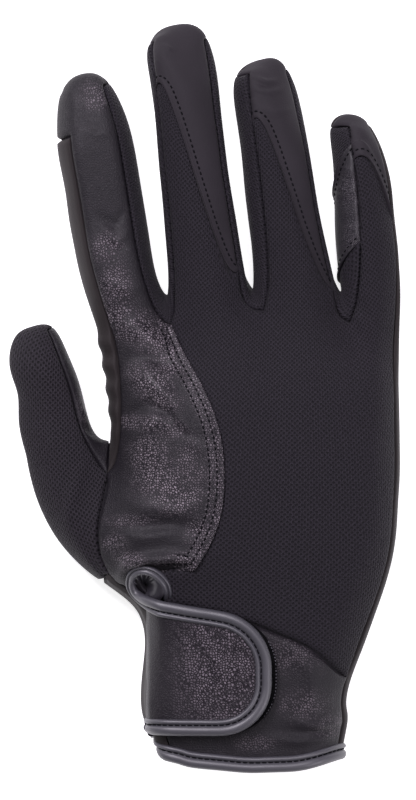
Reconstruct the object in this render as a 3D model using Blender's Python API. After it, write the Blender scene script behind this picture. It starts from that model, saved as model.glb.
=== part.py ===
"""A riding glove for the right hand, lying on its palm: hollow sewn panels, one object for each panel.

The skin of the whole glove is one cage of named stations. Its smooth surface passes through every
station, and the panels are cut from that surface along the cage's lines, so that they meet at seams.
Metres, +Z up, +X towards the little finger, +Y towards the fingertips; the origin is under the palm.
"""

import math

import bpy
import numpy as np
from mathutils import Vector
from mathutils.bvhtree import BVHTree

MM = 0.001

# Trunk of the glove, from the hem of the cuff to the crotches of the fingers
PALM_WIDTH = 90 * MM
PALM_HEIGHT = 27 * MM
KNUCKLE_REACH = 51 * MM
CUFF_WIDTH = 62 * MM
CUFF_HEIGHT = 22.5 * MM
CUFF_REACH = 88 * MM
KNUCKLE_VALLEY = 5 * MM
SEAM_TURN = 1.2 * MM
SOLE_TURN = 2.6 * MM

# Digits, each measured from its base on the trunk
THUMB_LENGTH = 47 * MM
THUMB_WIDTH = 20.4 * MM
THUMB_HEIGHT = 15 * MM
INDEX_LENGTH = 80 * MM
INDEX_WIDTH = 22.5 * MM
INDEX_HEIGHT = 16.5 * MM
MIDDLE_LENGTH = 91 * MM
MIDDLE_WIDTH = 21.2 * MM
MIDDLE_HEIGHT = 16.5 * MM
RING_LENGTH = 80 * MM
RING_WIDTH = 21 * MM
RING_HEIGHT = 16 * MM
LITTLE_LENGTH = 65 * MM
LITTLE_WIDTH = 18.4 * MM
LITTLE_HEIGHT = 14 * MM
WEB_REACH = 12 * MM
WEB_HEIGHT = 8 * MM

# Materials' thickness and the gap left at a seam
LEATHER_WALL = 1.2 * MM
KNIT_WALL = 1.0 * MM
PATCH_WALL = 0.8 * MM
SEAM_GAP = 0.3 * MM
LAYER_GAP = 0.35 * MM
FOLD_GAP = 0.55 * MM

# Closure: the tab over the slit of the cuff, its folded binding and the two grip pads under it
TAB_ROOT_X = -CUFF_WIDTH / 2
TAB_LENGTH = 0.6 * CUFF_WIDTH
TAB_HIGH_Y = -0.4307 * CUFF_REACH
TAB_WIDTH = 0.4205 * CUFF_REACH
TAB_SLOPE = 2.6 * MM
TAB_HIGH_RADIUS = 12 * MM
TAB_LOW_RADIUS = 9 * MM
TAB_WALL = 1.4 * MM
ROOT_HEIGHT = 0.55 * CUFF_HEIGHT
ROOT_RISE = 0.9 * MM
VENT_RISE = 2.0 * MM
GRIP_LENGTH = 30 * MM
GRIP_STEP = 1.4 * MM
TAB_CELLS = (14, 7)
GRIP_CELLS = (6, 6)
BINDING_WALL = 0.9 * MM
HEM_LEG = 3.4 * MM
TAB_LEG = 3.3 * MM

# Vent at the top of the slit
VENT_WIDTH = 9 * MM
VENT_LENGTH = 8.2 * MM
VENT_LEG = 1.3 * MM

# The smooth skin: how it is fitted, and how round or square its sections are
SMOOTHING = 1
FIT_ROUNDS = 5
SOLE_FLAT = 0.3 * MM
SHARP_ANGLE = math.radians(50)
LEAST_SLANT = 0.4
ROUNDNESS = 2.3
SOLE_SQUARENESS = 3.4
EQUATOR = 0.46

# How far the palm stands off the surface, so that the hem's binding clears it
SOLE_LIFTS = {"hem": 2.2 * MM, "cuff_low": 0.9 * MM}

# Heights, as shares of the trunk's own: the back's edge and the widest point on each side
LEFT_RISE = 0.42
LEFT_BULGE = 0.25
RIGHT_RISE = 0.55
RIGHT_BULGE = 0.32

# How far the back arches between lines 0 and 1, as shares of THUMB_HEIGHT, and how deep it dips
# between the fingers, as shares of KNUCKLE_VALLEY, from the middle of the index to that of the little
THUMB_ARCHES = {"thumb_crotch": 0.3, "thumb_low": 0.16}
PLAIN_ARCH = 0.04
VALLEYS = {"knuckle": 1.0, "palm_high": 0.3}
VALLEY_PLACES = (1.5, 4.5)

# Stations of the trunk, hem first. Six lines run up it: 0 the thumb side, 1 the seam of the thumb,
# 2 the seam of the leather back, 3 and 4 between the fingers, 5 the little finger side. Where each
# crosses a station is a share of CUFF_REACH below the origin, or of KNUCKLE_REACH above it.
STATION_Y = (
    # station, y0, y1, y2, y3, y4, y5
    ("hem", -0.9, -0.925, -0.965, -0.985, -0.98, -0.945),
    ("cuff_low", -0.81, -0.825, -0.86, -0.875, -0.875, -0.865),
    ("cuff_mid", -0.64, -0.65, -0.665, -0.68, -0.73, -0.8),
    ("cuff_top", -0.46, -0.42, -0.425, -0.48, -0.57, -0.695),
    ("vent_top", -0.35, -0.33, -0.305, -0.295, -0.32, -0.385),
    ("thumb_low", -0.19, -0.16, -0.15, -0.135, -0.145, -0.18),
    ("thumb_crotch", 0.06, 0.02, 0.05, 0.06, 0.04, 0.0),
    ("palm_mid", 0.335, 0.335, 0.335, 0.355, 0.335, 0.315),
    ("palm_high", 0.63, 0.63, 0.63, 0.675, 0.65, 0.62),
    ("knuckle", 0.88, 0.88, 0.88, 1.0, 0.92, 0.9),
)

# Crossings from side to side, as shares of the half width of the trunk part: x0, x1, x2 and x5 on the
# back, sole1 and sole2 on the palm. rise1 and crown are the height of line 1 and of the middle of the
# back, as shares of the height of that part.
STATION_X = (
    # station, part, x0, x1, x2, x5, sole1, sole2, rise1, crown
    ("hem", "cuff", -0.9, -0.84, -0.55, 0.9, -0.62, -0.36, 0.8, 0.93),
    ("cuff_low", "cuff", -1.01, -0.92, -0.61, 0.93, -0.68, -0.38, 0.78, 0.98),
    ("cuff_mid", "cuff", -1.05, -0.95, -0.66, 0.945, -0.72, -0.4, 0.78, 1.0),
    ("cuff_top", "cuff", -1.08, -1.03, -0.7, 0.975, -0.8, -0.42, 0.66, 1.06),
    ("vent_top", "palm", -1.005, -0.965, -0.38, 0.89, -0.7, -0.3, 0.58, 0.96),
    ("thumb_low", "palm", -1.335, -1.04, -0.21, 0.963, -0.95, -0.25, 0.67, 1.0),
    ("thumb_crotch", "palm", -1.445, -0.955, -0.178, 0.99, -0.955, -0.178, 0.48, 1.0),
    ("palm_mid", "palm", -0.933, -0.89, -0.222, 0.998, -0.933, -0.222, 0.6, 0.96),
    ("palm_high", "palm", -0.973, -0.882, -0.378, 0.99, -0.973, -0.378, 0.56, 0.87),
    ("knuckle", "palm", -1.03, -0.933, -0.533, 1.0, -1.03, -0.533, 0.52, 0.7),
)
STATIONS = tuple(row[0] for row in STATION_Y)
CUFF_TOP = STATIONS.index("cuff_top")
VENT_TOP = STATIONS.index("vent_top")
THUMB_CROTCH = STATIONS.index("thumb_crotch")
KNUCKLE = STATIONS.index("knuckle")

# Lines 3 and 4 as shares of the way from line 2 to line 5, at the hem and at the knuckles
FINGER_LINES = {3: (0.37, 0.406), 4: (0.69, 0.783)}

# Digits from the thumb to the little finger. base_x is a share of half PALM_WIDTH and base_y of
# KNUCKLE_REACH; bow is a share of the width; seam_left and seam_right say how far out the seams of the
# back lie.
DIGITS = (
    # name, length, width, height, lean, bow, base_x, base_y, seam_left, seam_right, columns
    ("thumb", THUMB_LENGTH, THUMB_WIDTH, THUMB_HEIGHT, 14.8, 0.0, -1.2, 0.04, -0.92, 0.72, 2),
    ("index", INDEX_LENGTH, INDEX_WIDTH, INDEX_HEIGHT, 10.5, -0.08, -0.782, 0.88, -0.62, 0.64, 3),
    ("middle", MIDDLE_LENGTH, MIDDLE_WIDTH, MIDDLE_HEIGHT, 7.2, -0.06, -0.233, 0.94, -0.88, 0.9, 2),
    ("ring", RING_LENGTH, RING_WIDTH, RING_HEIGHT, 8.9, -0.11, 0.367, 0.96, -0.55, 0.94, 2),
    ("little", LITTLE_LENGTH, LITTLE_WIDTH, LITTLE_HEIGHT, 5.8, 0.03, 0.832, 0.91, -0.2, 0.95, 2),
)
NAMES = tuple(row[0] for row in DIGITS)
COLUMNS = tuple(row[10] for row in DIGITS)
BASE_ROW = (THUMB_CROTCH, KNUCKLE, KNUCKLE, KNUCKLE, KNUCKLE)

# Where the second row of each digit's back crosses its left seam, its middle and its right seam, as
# shares of its length: the middle, ring and little finger have their caps' lower edges there
CUTS = {
    "thumb": (0.42, 0.42, 0.42),
    "index": (0.42, 0.42, 0.42),
    "middle": (0.8, 0.5, 0.17),
    "ring": (0.77, 0.57, 0.12),
    "little": (0.8, 0.76, 0.5),
}
SOLE_CUT = 0.42
SIDE_CUT = 0.65

# Seams of a digit's palm, as shares of its half width
SOLE_SEAMS = (-0.82, 0.82)

# Where the index finger's two inner columns run: the vent lies between them
VENT_COLUMNS = {(1, 1): 0.32, (1, 2): 0.62}

# Half width of each digit, as shares of its own, at these shares of the way to its tip
STEPS = (0.15, 0.4, 0.6, 0.8, 0.9, 0.96)
HALF_WIDTHS = {
    "thumb": (0.96, 1.0, 0.95, 0.95, 0.84, 0.58),
    "index": (0.98, 1.0, 0.98, 1.0, 0.92, 0.64),
    "middle": (1.06, 0.99, 0.92, 0.95, 0.94, 0.74),
    "ring": (1.03, 1.01, 0.97, 0.96, 0.86, 0.64),
    "little": (1.0, 1.02, 0.96, 0.88, 0.76, 0.54),
}
HEIGHTS = (1.08, 1.0, 0.98, 0.92, 0.8, 0.6)
TIP_HALF_WIDTH = 0.3

# Rows of a digit above its base: two up to the cut across its back, three beyond it to the last ring
ROWS_TO_CUT = 2
ROWS_PAST_CUT = 3
ROWS = ROWS_TO_CUT + ROWS_PAST_CUT
LAST_RING = 0.95

# How far each web reaches from its crotch on the back, as shares of WEB_REACH, for lines 1 to 4
WEBS = {
    # line: (sideways, forward, forward on the palm)
    1: (0.04, 0.97, 0.35),
    2: (-0.04, 0.92, 0.46),
    3: (-0.33, 0.5, 0.3),
    4: (-0.26, 0.88, 0.3),
}

# Colour, roughness and wall of each kind of cloth
FINISHES = {
    "grain_leather": ((0.022, 0.021, 0.024), 0.48, LEATHER_WALL),
    "suede_leather": ((0.028, 0.025, 0.025), 0.85, LEATHER_WALL),
    "knit_fabric": ((0.014, 0.013, 0.017), 0.92, KNIT_WALL),
    "binding_leather": ((0.03, 0.03, 0.034), 0.4, BINDING_WALL),
    "grip_tape": ((0.008, 0.008, 0.009), 0.95, PATCH_WALL),
}

# What each panel of the skin is sewn from
PANELS = {
    "palm": "suede_leather",
    "thumb_front": "suede_leather",
    "thumb_back": "knit_fabric",
    "thumb_gusset": "grain_leather",
    "index_back": "grain_leather",
    "back_of_hand": "knit_fabric",
    "middle_cap": "suede_leather",
    "ring_cap": "suede_leather",
    "little_cap": "suede_leather",
    "index_middle_fourchette": "knit_fabric",
    "middle_ring_fourchette": "knit_fabric",
    "ring_little_fourchette": "knit_fabric",
    "cuff_back": "grain_leather",
}
VENT = "vent"
REIN_PATCH = "rein_patch"
UNDER_PATCH = {REIN_PATCH: "ring_little_fourchette"}
SKIN_LABELS = (*PANELS, VENT, REIN_PATCH)
FOURCHETTES = {2: "index_middle_fourchette", 3: "middle_ring_fourchette", 4: "ring_little_fourchette"}


def clear_scene():
    for thing in list(bpy.data.objects):
        bpy.data.objects.remove(thing)


def blend(a, b, share):
    return a + (b - a) * share


def trunk_sizes(row):
    """Half width and height of the trunk part that a station belongs to."""
    if STATION_X[row][1] == "cuff":
        return CUFF_WIDTH / 2, CUFF_HEIGHT
    return PALM_WIDTH / 2, PALM_HEIGHT


def line_x(sheet, line, row):
    """Where a line crosses a station, from side to side."""
    half, _ = trunk_sizes(row)
    x0, x1, x2, x5, sole1, sole2 = STATION_X[row][2:8]
    shares = {0: x0, 1: x1, 2: x2, 5: x5}
    if sheet == "palm":
        shares = {0: x0, 1: sole1, 2: sole2, 5: x5}
    if line in FINGER_LINES:
        share = blend(*FINGER_LINES[line], row / KNUCKLE)
        return half * blend(shares[2], shares[5], share)
    return half * shares[line]


def line_y(line, row):
    share = STATION_Y[row][1 + line]
    return share * (KNUCKLE_REACH if share > 0 else CUFF_REACH)


def sole_lift(row):
    return SOLE_LIFTS.get(STATIONS[row], 0.0)


def dome(share, low, high):
    """Height of a rounded back: high where share is 0, low where it is 1."""
    return low + (high - low) * max(0.0, 1 - abs(share) ** ROUNDNESS) ** (1 / ROUNDNESS)


def back_height(row, x, place):
    """Height of the trunk's back at x; place counts the lines from 0 to 5."""
    _, height = trunk_sizes(row)
    rise, crown = STATION_X[row][8] * height, STATION_X[row][9] * height
    if place < 1:
        arch = THUMB_ARCHES.get(STATIONS[row], PLAIN_ARCH) * THUMB_HEIGHT
        return blend(LEFT_RISE * height + sole_lift(row), rise, place) + arch * 4 * place * (1 - place)
    left, right = line_x("back", 1, row), line_x("back", 5, row) - SEAM_TURN
    middle = (left + right) / 2
    low = rise if x < middle else crown * RIGHT_RISE + sole_lift(row)
    top = dome((x - middle) / (middle - left), low, crown)
    if VALLEY_PLACES[0] < place < VALLEY_PLACES[1]:
        top -= VALLEYS.get(STATIONS[row], 0.0) * KNUCKLE_VALLEY * abs(2 * (place % 1) - 1)
    return top


def sole_reach(place, row):
    """How far the palm's crotches lie ahead of those on the back, as a share of WEB_REACH."""
    if row == THUMB_CROTCH:
        return WEBS[1][2] * max(0.0, 1 - abs(place - 1))
    if row == KNUCKLE:
        return float(np.interp(place, sorted(WEBS), [WEBS[line][2] for line in sorted(WEBS)]))
    return 0.0


def trunk_point(sheet, place, row):
    """A station's point on the back or on the palm; place counts the lines from 0 to 5."""
    line = min(int(place), 4)
    x = blend(line_x(sheet, line, row), line_x(sheet, line + 1, row), place - line)
    y = blend(line_y(line, row), line_y(line + 1, row), place - line)
    on_left = place == 0 or (row > THUMB_CROTCH and place == 1)
    on_right = place == 5
    if sheet == "back":
        if on_right:
            x -= SEAM_TURN
        if place == 0:
            x += SEAM_TURN
        return Vector((x, y, back_height(row, x, place)))
    y += WEB_REACH * sole_reach(place, row)
    if on_left:
        x = line_x(sheet, 0, row) + SOLE_TURN
    if on_right:
        x -= SOLE_TURN
    return Vector((x, y, sole_lift(row) + (SOLE_TURN if on_left or on_right else 0.0)))


def trunk_side(side, row):
    """The widest point of the trunk at a station."""
    line = 0 if side == "left" else 5
    _, height = trunk_sizes(row)
    share = LEFT_BULGE if side == "left" and row <= THUMB_CROTCH else RIGHT_BULGE
    return Vector((line_x("back", line, row), line_y(line, row), share * height + sole_lift(row)))


def digit_axis(band, share):
    """Centre line of a digit and the direction across it."""
    _, length, width, _, lean, bow, base_x, base_y = DIGITS[band][:8]
    turn = math.radians(lean)
    along, across = Vector((-math.sin(turn), math.cos(turn))), Vector((math.cos(turn), math.sin(turn)))
    base = Vector((base_x * PALM_WIDTH / 2, base_y * KNUCKLE_REACH))
    return base + along * length * share + across * bow * width * 4 * share * (1 - share), across


def digit_point(band, share, angle):
    """Skin of a digit at a share of its length, angle in radians from its right-hand side."""
    name, _, width, height = DIGITS[band][:4]
    half = width / 2 * float(np.interp(share, STEPS, HALF_WIDTHS[name]))
    tall = height * float(np.interp(share, STEPS, HEIGHTS))
    power = 2 / (ROUNDNESS if math.sin(angle) > 0 else SOLE_SQUARENESS)
    out = math.copysign(abs(math.cos(angle)) ** power, math.cos(angle))
    up = math.copysign(abs(math.sin(angle)) ** power, math.sin(angle))
    centre, across = digit_axis(band, share)
    place = centre + across * half * out
    middle = EQUATOR * tall
    return Vector((place.x, place.y, middle + up * (tall - middle if up > 0 else middle)))


def seam_angle(lateral, sheet):
    """Angle round a digit at which the surface is that share of the half width out."""
    power = ROUNDNESS if sheet == "back" else SOLE_SQUARENESS
    angle = math.acos(math.copysign(abs(lateral) ** (power / 2), lateral))
    return angle if sheet == "back" else -angle


def row_share(cut, row):
    """Share of a digit's length at a row, for a column whose second row lies at cut."""
    if row <= ROWS_TO_CUT:
        return LAST_RING * cut * row / ROWS_TO_CUT
    return LAST_RING * blend(cut, 1.0, (row - ROWS_TO_CUT) / ROWS_PAST_CUT)


def cut_at(band, part):
    """Where the cut crosses the back of a digit, part of the way from its left to its right seam."""
    return float(np.interp(part, (0, 0.5, 1), CUTS[NAMES[band]]))


def sheet_point(sheet, band, column, row):
    base = BASE_ROW[band]
    part = column / COLUMNS[band]
    if row <= base:
        return trunk_point(sheet, band + VENT_COLUMNS.get((band, column), part), row)
    edge = (DIGITS[band][8], DIGITS[band][9]) if sheet == "back" else SOLE_SEAMS
    angle = blend(seam_angle(edge[0], sheet), seam_angle(edge[1], sheet), part)
    cut = cut_at(band, part) if sheet == "back" else SOLE_CUT
    return digit_point(band, row_share(cut, row - base), angle)


def side_point(band, side, row):
    base = BASE_ROW[band]
    if row <= base:
        return trunk_side(side, row)
    cut = blend(cut_at(band, 0.0 if side == "left" else 1.0), SOLE_CUT, SIDE_CUT)
    return digit_point(band, row_share(cut, row - base), math.pi if side == "left" else 0.0)


def web_point(line):
    """Foremost point of the web between two digits, above the crotch of the back."""
    row = BASE_ROW[line - 1]
    crotch = trunk_point("back", line, row)
    sideways, forward, _ = WEBS[line]
    return Vector((crotch.x + sideways * WEB_REACH, crotch.y + forward * WEB_REACH, WEB_HEIGHT))


def tip_point(band, column):
    """A point of the seam across a fingertip."""
    name, _, width, height = DIGITS[band][:4]
    centre, across = digit_axis(band, 1.0)
    part = 2 * column / COLUMNS[band] - 1
    place = centre + across * TIP_HALF_WIDTH * width / 2 * part
    return Vector((place.x, place.y, EQUATOR * height * HEIGHTS[-1]))


class Cage:
    """Named points and labelled faces of the glove's skin."""

    def __init__(self):
        self.index = {}
        self.points = []
        self.faces = []
        self.labels = []

    def point(self, key, place):
        if key not in self.index:
            self.index[key] = len(self.points)
            self.points.append(place)
        return self.index[key]

    def sheet(self, sheet, band, column, row):
        line = band + 1
        if column == COLUMNS[band] and line in WEBS and row <= BASE_ROW[band]:
            band, column = line, 0
        key = (sheet, band, column, row)
        return self.point(key, sheet_point(*key))

    def side(self, band, side, row):
        line = band if side == "left" else band + 1
        if line in WEBS and row == BASE_ROW[line - 1]:
            return self.point(("web", line), web_point(line))
        if side == "left" and row <= THUMB_CROTCH:
            band = 0
        return self.point(("side", side, band, row), side_point(band, side, row))

    def face(self, label, corners):
        self.faces.append(corners)
        self.labels.append(label)


def back_label(band, column, row):
    """The panel that a face of the back belongs to."""
    if band == 0:
        return "palm" if row < VENT_TOP else "thumb_back"
    if row < CUFF_TOP:
        return "palm" if band == 1 and column == 0 else "cuff_back"
    if band == 1:
        return VENT if column == 1 and row == CUFF_TOP else "index_back"
    return "back_of_hand" if row < KNUCKLE + ROWS_TO_CUT else NAMES[band] + "_cap"


def side_label(band, side, row):
    if band == 0:
        if side == "right":
            return "thumb_gusset"
        return "palm" if row < VENT_TOP else "thumb_back"
    if band == 1 and side == "left":
        return "index_back" if row == KNUCKLE + ROWS - 1 else "palm"
    if band == 4 and side == "right":
        return "palm"
    if band == 4 and KNUCKLE < row < KNUCKLE + ROWS - 1:
        return REIN_PATCH
    return FOURCHETTES[band if side == "left" else band + 1]


def add_sheets(cage):
    for band, columns in enumerate(COLUMNS):
        for row in range(BASE_ROW[band] + ROWS):
            for column in range(columns):
                ring = ((column, row), (column + 1, row), (column + 1, row + 1), (column, row + 1))
                cage.face(
                    back_label(band, column, row),
                    [cage.sheet("back", band, c, r) for c, r in ring],
                )
                cage.face(
                    "thumb_front" if band == 0 and row >= THUMB_CROTCH else "palm",
                    [cage.sheet("palm", band, c, r) for c, r in reversed(ring)],
                )


def add_sides(cage):
    """Side walls: two strips between the back and the palm, from the hem or from a crotch to the tip."""
    for band in range(len(DIGITS)):
        first = {"left": (0, THUMB_CROTCH)[band == 1] if band < 2 else KNUCKLE}
        first["right"] = 0 if band == 4 else BASE_ROW[band]
        for side, edge in (("left", 0), ("right", COLUMNS[band])):
            for row in range(first[side], BASE_ROW[band] + ROWS):
                rows = (row, row + 1)
                back = [cage.sheet("back", band, edge, r) for r in rows]
                middle = [cage.side(band, side, r) for r in rows]
                sole = [cage.sheet("palm", band, edge, r) for r in rows]
                for upper, lower in ((back, middle), (middle, sole)):
                    corners = [upper[0], lower[0], lower[1], upper[1]]
                    cage.face(side_label(band, side, row), corners if side == "right" else corners[::-1])


def add_tips(cage):
    """Closes each digit with a seam from side to side across its tip."""
    for band, columns in enumerate(COLUMNS):
        last = BASE_ROW[band] + ROWS
        seam = [cage.side(band, "left", last)]
        seam += [cage.point(("tip", band, c), tip_point(band, c)) for c in range(1, columns)]
        seam.append(cage.side(band, "right", last))
        for column in range(columns):
            for sheet in ("back", "palm"):
                ring = [
                    cage.sheet(sheet, band, column, last),
                    cage.sheet(sheet, band, column + 1, last),
                    seam[column + 1],
                    seam[column],
                ]
                label = back_label(band, column, last - 1)
                if sheet == "palm":
                    ring.reverse()
                    label = "thumb_front" if band == 0 else "palm"
                cage.face(label, ring)


def smooth_mesh(cage, points):
    """The cage's Catmull-Clark surface as (points, faces, label of each face)."""
    mesh = bpy.data.meshes.new("cage")
    mesh.from_pydata([tuple(p) for p in points], [], cage.faces)
    mesh.polygons.foreach_set("material_index", [SKIN_LABELS.index(label) for label in cage.labels])
    thing = bpy.data.objects.new("cage", mesh)
    bpy.context.scene.collection.objects.link(thing)
    rounding = thing.modifiers.new("rounding", "SUBSURF")
    rounding.levels = rounding.render_levels = SMOOTHING
    graph = bpy.context.evaluated_depsgraph_get()
    made = thing.evaluated_get(graph).to_mesh()
    places = np.array([v.co[:] for v in made.vertices])
    faces = [tuple(p.vertices) for p in made.polygons]
    labels = [SKIN_LABELS[p.material_index] for p in made.polygons]
    bpy.data.objects.remove(thing)
    bpy.data.meshes.remove(mesh)
    return places, faces, labels


def round_vent(places, faces, labels):
    """Draws the rim of the vent out to an oval on the surface."""
    open_faces = [face for face, label in zip(faces, labels) if label == VENT]
    rim = [i for i, _ in rim_edges(open_faces)]
    tree = BVHTree.FromPolygons([Vector(p) for p in places], faces)
    centre = places[rim].mean(axis=0)
    rounded = places.copy()
    for i in rim:
        turn = math.atan2(*(places[i] - centre)[1::-1])
        x = centre[0] + VENT_WIDTH / 2 * math.cos(turn)
        y = centre[1] + VENT_LENGTH / 2 * math.sin(turn)
        rounded[i] = tree.ray_cast(Vector((x, y, PALM_WIDTH)), Vector((0, 0, -1)))[0]
    return rounded


def fitted_skin(cage):
    """Moves the cage until its smooth surface passes through the stations, then rests it on the floor."""
    wanted = np.array([tuple(p) for p in cage.points])
    points = wanted.copy()
    for _ in range(FIT_ROUNDS):
        places, _, _ = smooth_mesh(cage, points)
        points += wanted - places[: len(points)]
    places, faces, labels = smooth_mesh(cage, points)
    places[places[:, 2] < SOLE_FLAT, 2] = 0.0
    return round_vent(places, faces, labels), faces, labels


def vertex_normals(places, faces):
    normals = np.zeros_like(places)
    for face in faces:
        a, b, c, d = (places[i] for i in face)
        across = np.cross(c - a, d - b)
        for i in face:
            normals[i] += across
    return normals / np.linalg.norm(normals, axis=1)[:, None]


def rim_edges(faces):
    """Directed edges that only one face uses."""
    edges = {(f[i], f[(i + 1) % 4]) for f in faces for i in range(4)}
    return [e for e in edges if e[::-1] not in edges]


def pulled_in(places, normals, faces):
    """Places of a panel with its rim drawn in by half a seam gap."""
    moved = places.copy()
    inward = {}
    for face in faces:
        centre = places[list(face)].mean(axis=0)
        for i in face:
            inward[i] = inward.get(i, 0) + centre - places[i]
    ends = {}
    for a, b in rim_edges(faces):
        along = (places[b] - places[a]) / np.linalg.norm(places[b] - places[a])
        ends.setdefault(a, []).append(along)
        ends.setdefault(b, []).append(along)
    for i, alongs in ends.items():
        pull = inward[i] - normals[i] * (inward[i] @ normals[i])
        pull /= np.linalg.norm(pull)
        slant = min(np.linalg.norm(np.cross(pull, along)) for along in alongs)
        moved[i] += pull * SEAM_GAP / 2 / max(slant, LEAST_SLANT)
    return moved


def new_object(name, points, faces, finish):
    mesh = bpy.data.meshes.new(name)
    mesh.from_pydata([tuple(p) for p in points], [], faces)
    mesh.materials.append(finish)
    mesh.shade_smooth()
    mesh.set_sharp_from_angle(angle=SHARP_ANGLE)
    thing = bpy.data.objects.new(name, mesh)
    bpy.context.scene.collection.objects.link(thing)
    return thing


def wall_object(name, outer, inner, faces, finish):
    """A closed wall between two sheets that share their faces."""
    used = sorted({i for face in faces for i in face})
    order = {i: n for n, i in enumerate(used)}
    count = len(used)
    made = [[order[i] for i in face] for face in faces]
    made += [[order[i] + count for i in reversed(face)] for face in faces]
    for a, b in rim_edges(faces):
        made.append([order[b], order[a], order[a] + count, order[b] + count])
    return new_object(name, [*outer[used], *inner[used]], made, finish)


def make_finishes():
    made = {}
    for name, (colour, roughness, _) in FINISHES.items():
        finish = bpy.data.materials.new(name)
        finish.use_nodes = True
        shader = finish.node_tree.nodes["Principled BSDF"]
        shader.inputs["Base Color"].default_value = (*colour, 1)
        shader.inputs["Roughness"].default_value = roughness
        made[name] = finish
    return made


def make_panels(skin, finishes):
    places, faces, labels = skin
    normals = vertex_normals(places, faces)
    for name, cloth in PANELS.items():
        own = [face for face, label in zip(faces, labels) if UNDER_PATCH.get(label, label) == name]
        outer = pulled_in(places, normals, own)
        inner = outer - normals * FINISHES[cloth][2]
        wall_object(name, outer, inner, own, finishes[cloth])


def make_rein_patch(skin, finishes):
    """The leather laid over the little finger's inner side, where a rein runs."""
    places, faces, labels = skin
    normals = vertex_normals(places, faces)
    own = [face for face, label in zip(faces, labels) if label == REIN_PATCH]
    inner = pulled_in(places, normals, own) + normals * LAYER_GAP
    wall_object(REIN_PATCH, inner + normals * PATCH_WALL, inner, own, finishes["grain_leather"])


def binding_section(wall, leg, near):
    """A folded binding in section, as (way past the edge, height above the wall's upper face)."""
    far = near + BINDING_WALL
    low = -wall - near
    return (
        (-leg, near),
        (-leg, far),
        (near / 2, far),
        (far, far / 2),
        (far, low - BINDING_WALL / 2),
        (near / 2, low - BINDING_WALL),
        (-leg, low - BINDING_WALL),
        (-leg, low),
        (near, low),
        (near, near),
    )


def make_binding(name, rim, wall, leg, finish, gap=LAYER_GAP, closed=False):
    """Sweeps a folded binding along a rim: its points and normals, and the same one step inside it."""
    section = binding_section(wall, leg, gap)
    size = len(section)
    points = []
    for place, up, inside, inside_up in zip(*rim):
        reach = np.linalg.norm(place - inside)
        for out, rise in section:
            share = max(-out / reach, 0.0)
            over = blend(up, inside_up / np.linalg.norm(inside_up), share)
            points.append(place + (place - inside) / reach * out + over / np.linalg.norm(over) * rise)
    count = len(points) // size
    faces = []
    for k in range(count if closed else count - 1):
        near, far = k * size, (k + 1) % count * size
        faces += [[near + j, near + (j + 1) % size, far + (j + 1) % size, far + j] for j in range(size)]
    if not closed:
        faces += [list(range(size))[::-1], [(count - 1) * size + j for j in range(size)]]
    return new_object(name, points, faces, finish)


def skin_rim(skin, leg, first):
    """One open rim of the sewn skin, from its vertex that first puts lowest, and a line a leg inside it."""
    places, faces, labels = skin
    normals = vertex_normals(places, faces)
    own = [face for face, label in zip(faces, labels) if label != VENT]
    after = dict(rim_edges(own))
    path = [min(after, key=lambda i: first(places[i]))]
    while after[path[-1]] != path[0]:
        path.append(after[path[-1]])
    inner = {i: set() for i in path}
    for face in own:
        for a, b in zip(face, face[1:] + face[:1]):
            if a in inner and b not in inner:
                inner[a].add(b)
            if b in inner and a not in inner:
                inner[b].add(a)
    tree = BVHTree.FromPolygons([Vector(p) for p in places], own)
    inside, inside_ups = [], []
    for i in path:
        step = places[list(inner[i])].mean(axis=0) - places[i]
        place, up, _, _ = tree.find_nearest(Vector(places[i] + step / np.linalg.norm(step) * leg))
        inside.append(np.array(place))
        inside_ups.append(np.array(up) + normals[i])
    return [list(places[path]), list(normals[path]), inside, inside_ups]


def make_hem_binding(skin, finishes):
    """Binds the hem all the way round, from one side of the slit to the other."""
    slit_x = CUFF_WIDTH / 2 * STATION_X[0][3]
    rim = skin_rim(skin, HEM_LEG, lambda p: abs(p[0] - slit_x) + abs(p[1] + CUFF_REACH) - p[2])
    rim = [row[1:] for row in rim]
    make_binding("hem_binding", rim, LEATHER_WALL, HEM_LEG, finishes["binding_leather"])


def make_vent_binding(skin, finishes):
    rim = skin_rim(skin, VENT_LEG, lambda p: -p[1])
    finish = finishes["binding_leather"]
    make_binding("vent_binding", rim, LEATHER_WALL, VENT_LEG, finish, gap=2 * LAYER_GAP, closed=True)


def tab_root(tree, y):
    """The tab's left end, where it turns down over the side of the cuff."""
    return tree.ray_cast(Vector((-PALM_WIDTH, y, ROOT_HEIGHT)), Vector((1, 0, 0)))[0]


def tab_edges(x, grow):
    """Lowest and highest y of the tab at x, its outline drawn out by grow."""
    tip = TAB_ROOT_X + TAB_LENGTH + grow
    share = (x - TAB_ROOT_X) / TAB_LENGTH
    high, low = TAB_HIGH_Y - TAB_SLOPE * share + grow, TAB_HIGH_Y - TAB_WIDTH - grow
    high_radius, low_radius = TAB_HIGH_RADIUS + grow, TAB_LOW_RADIUS + grow
    high_in, low_in = (max(0.0, x - tip + radius) / radius for radius in (high_radius, low_radius))
    high -= high_radius * (1 - math.sqrt(max(0.0, 1 - high_in**2)))
    low += low_radius * (1 - math.sqrt(max(0.0, 1 - low_in**2)))
    return low, high


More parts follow.
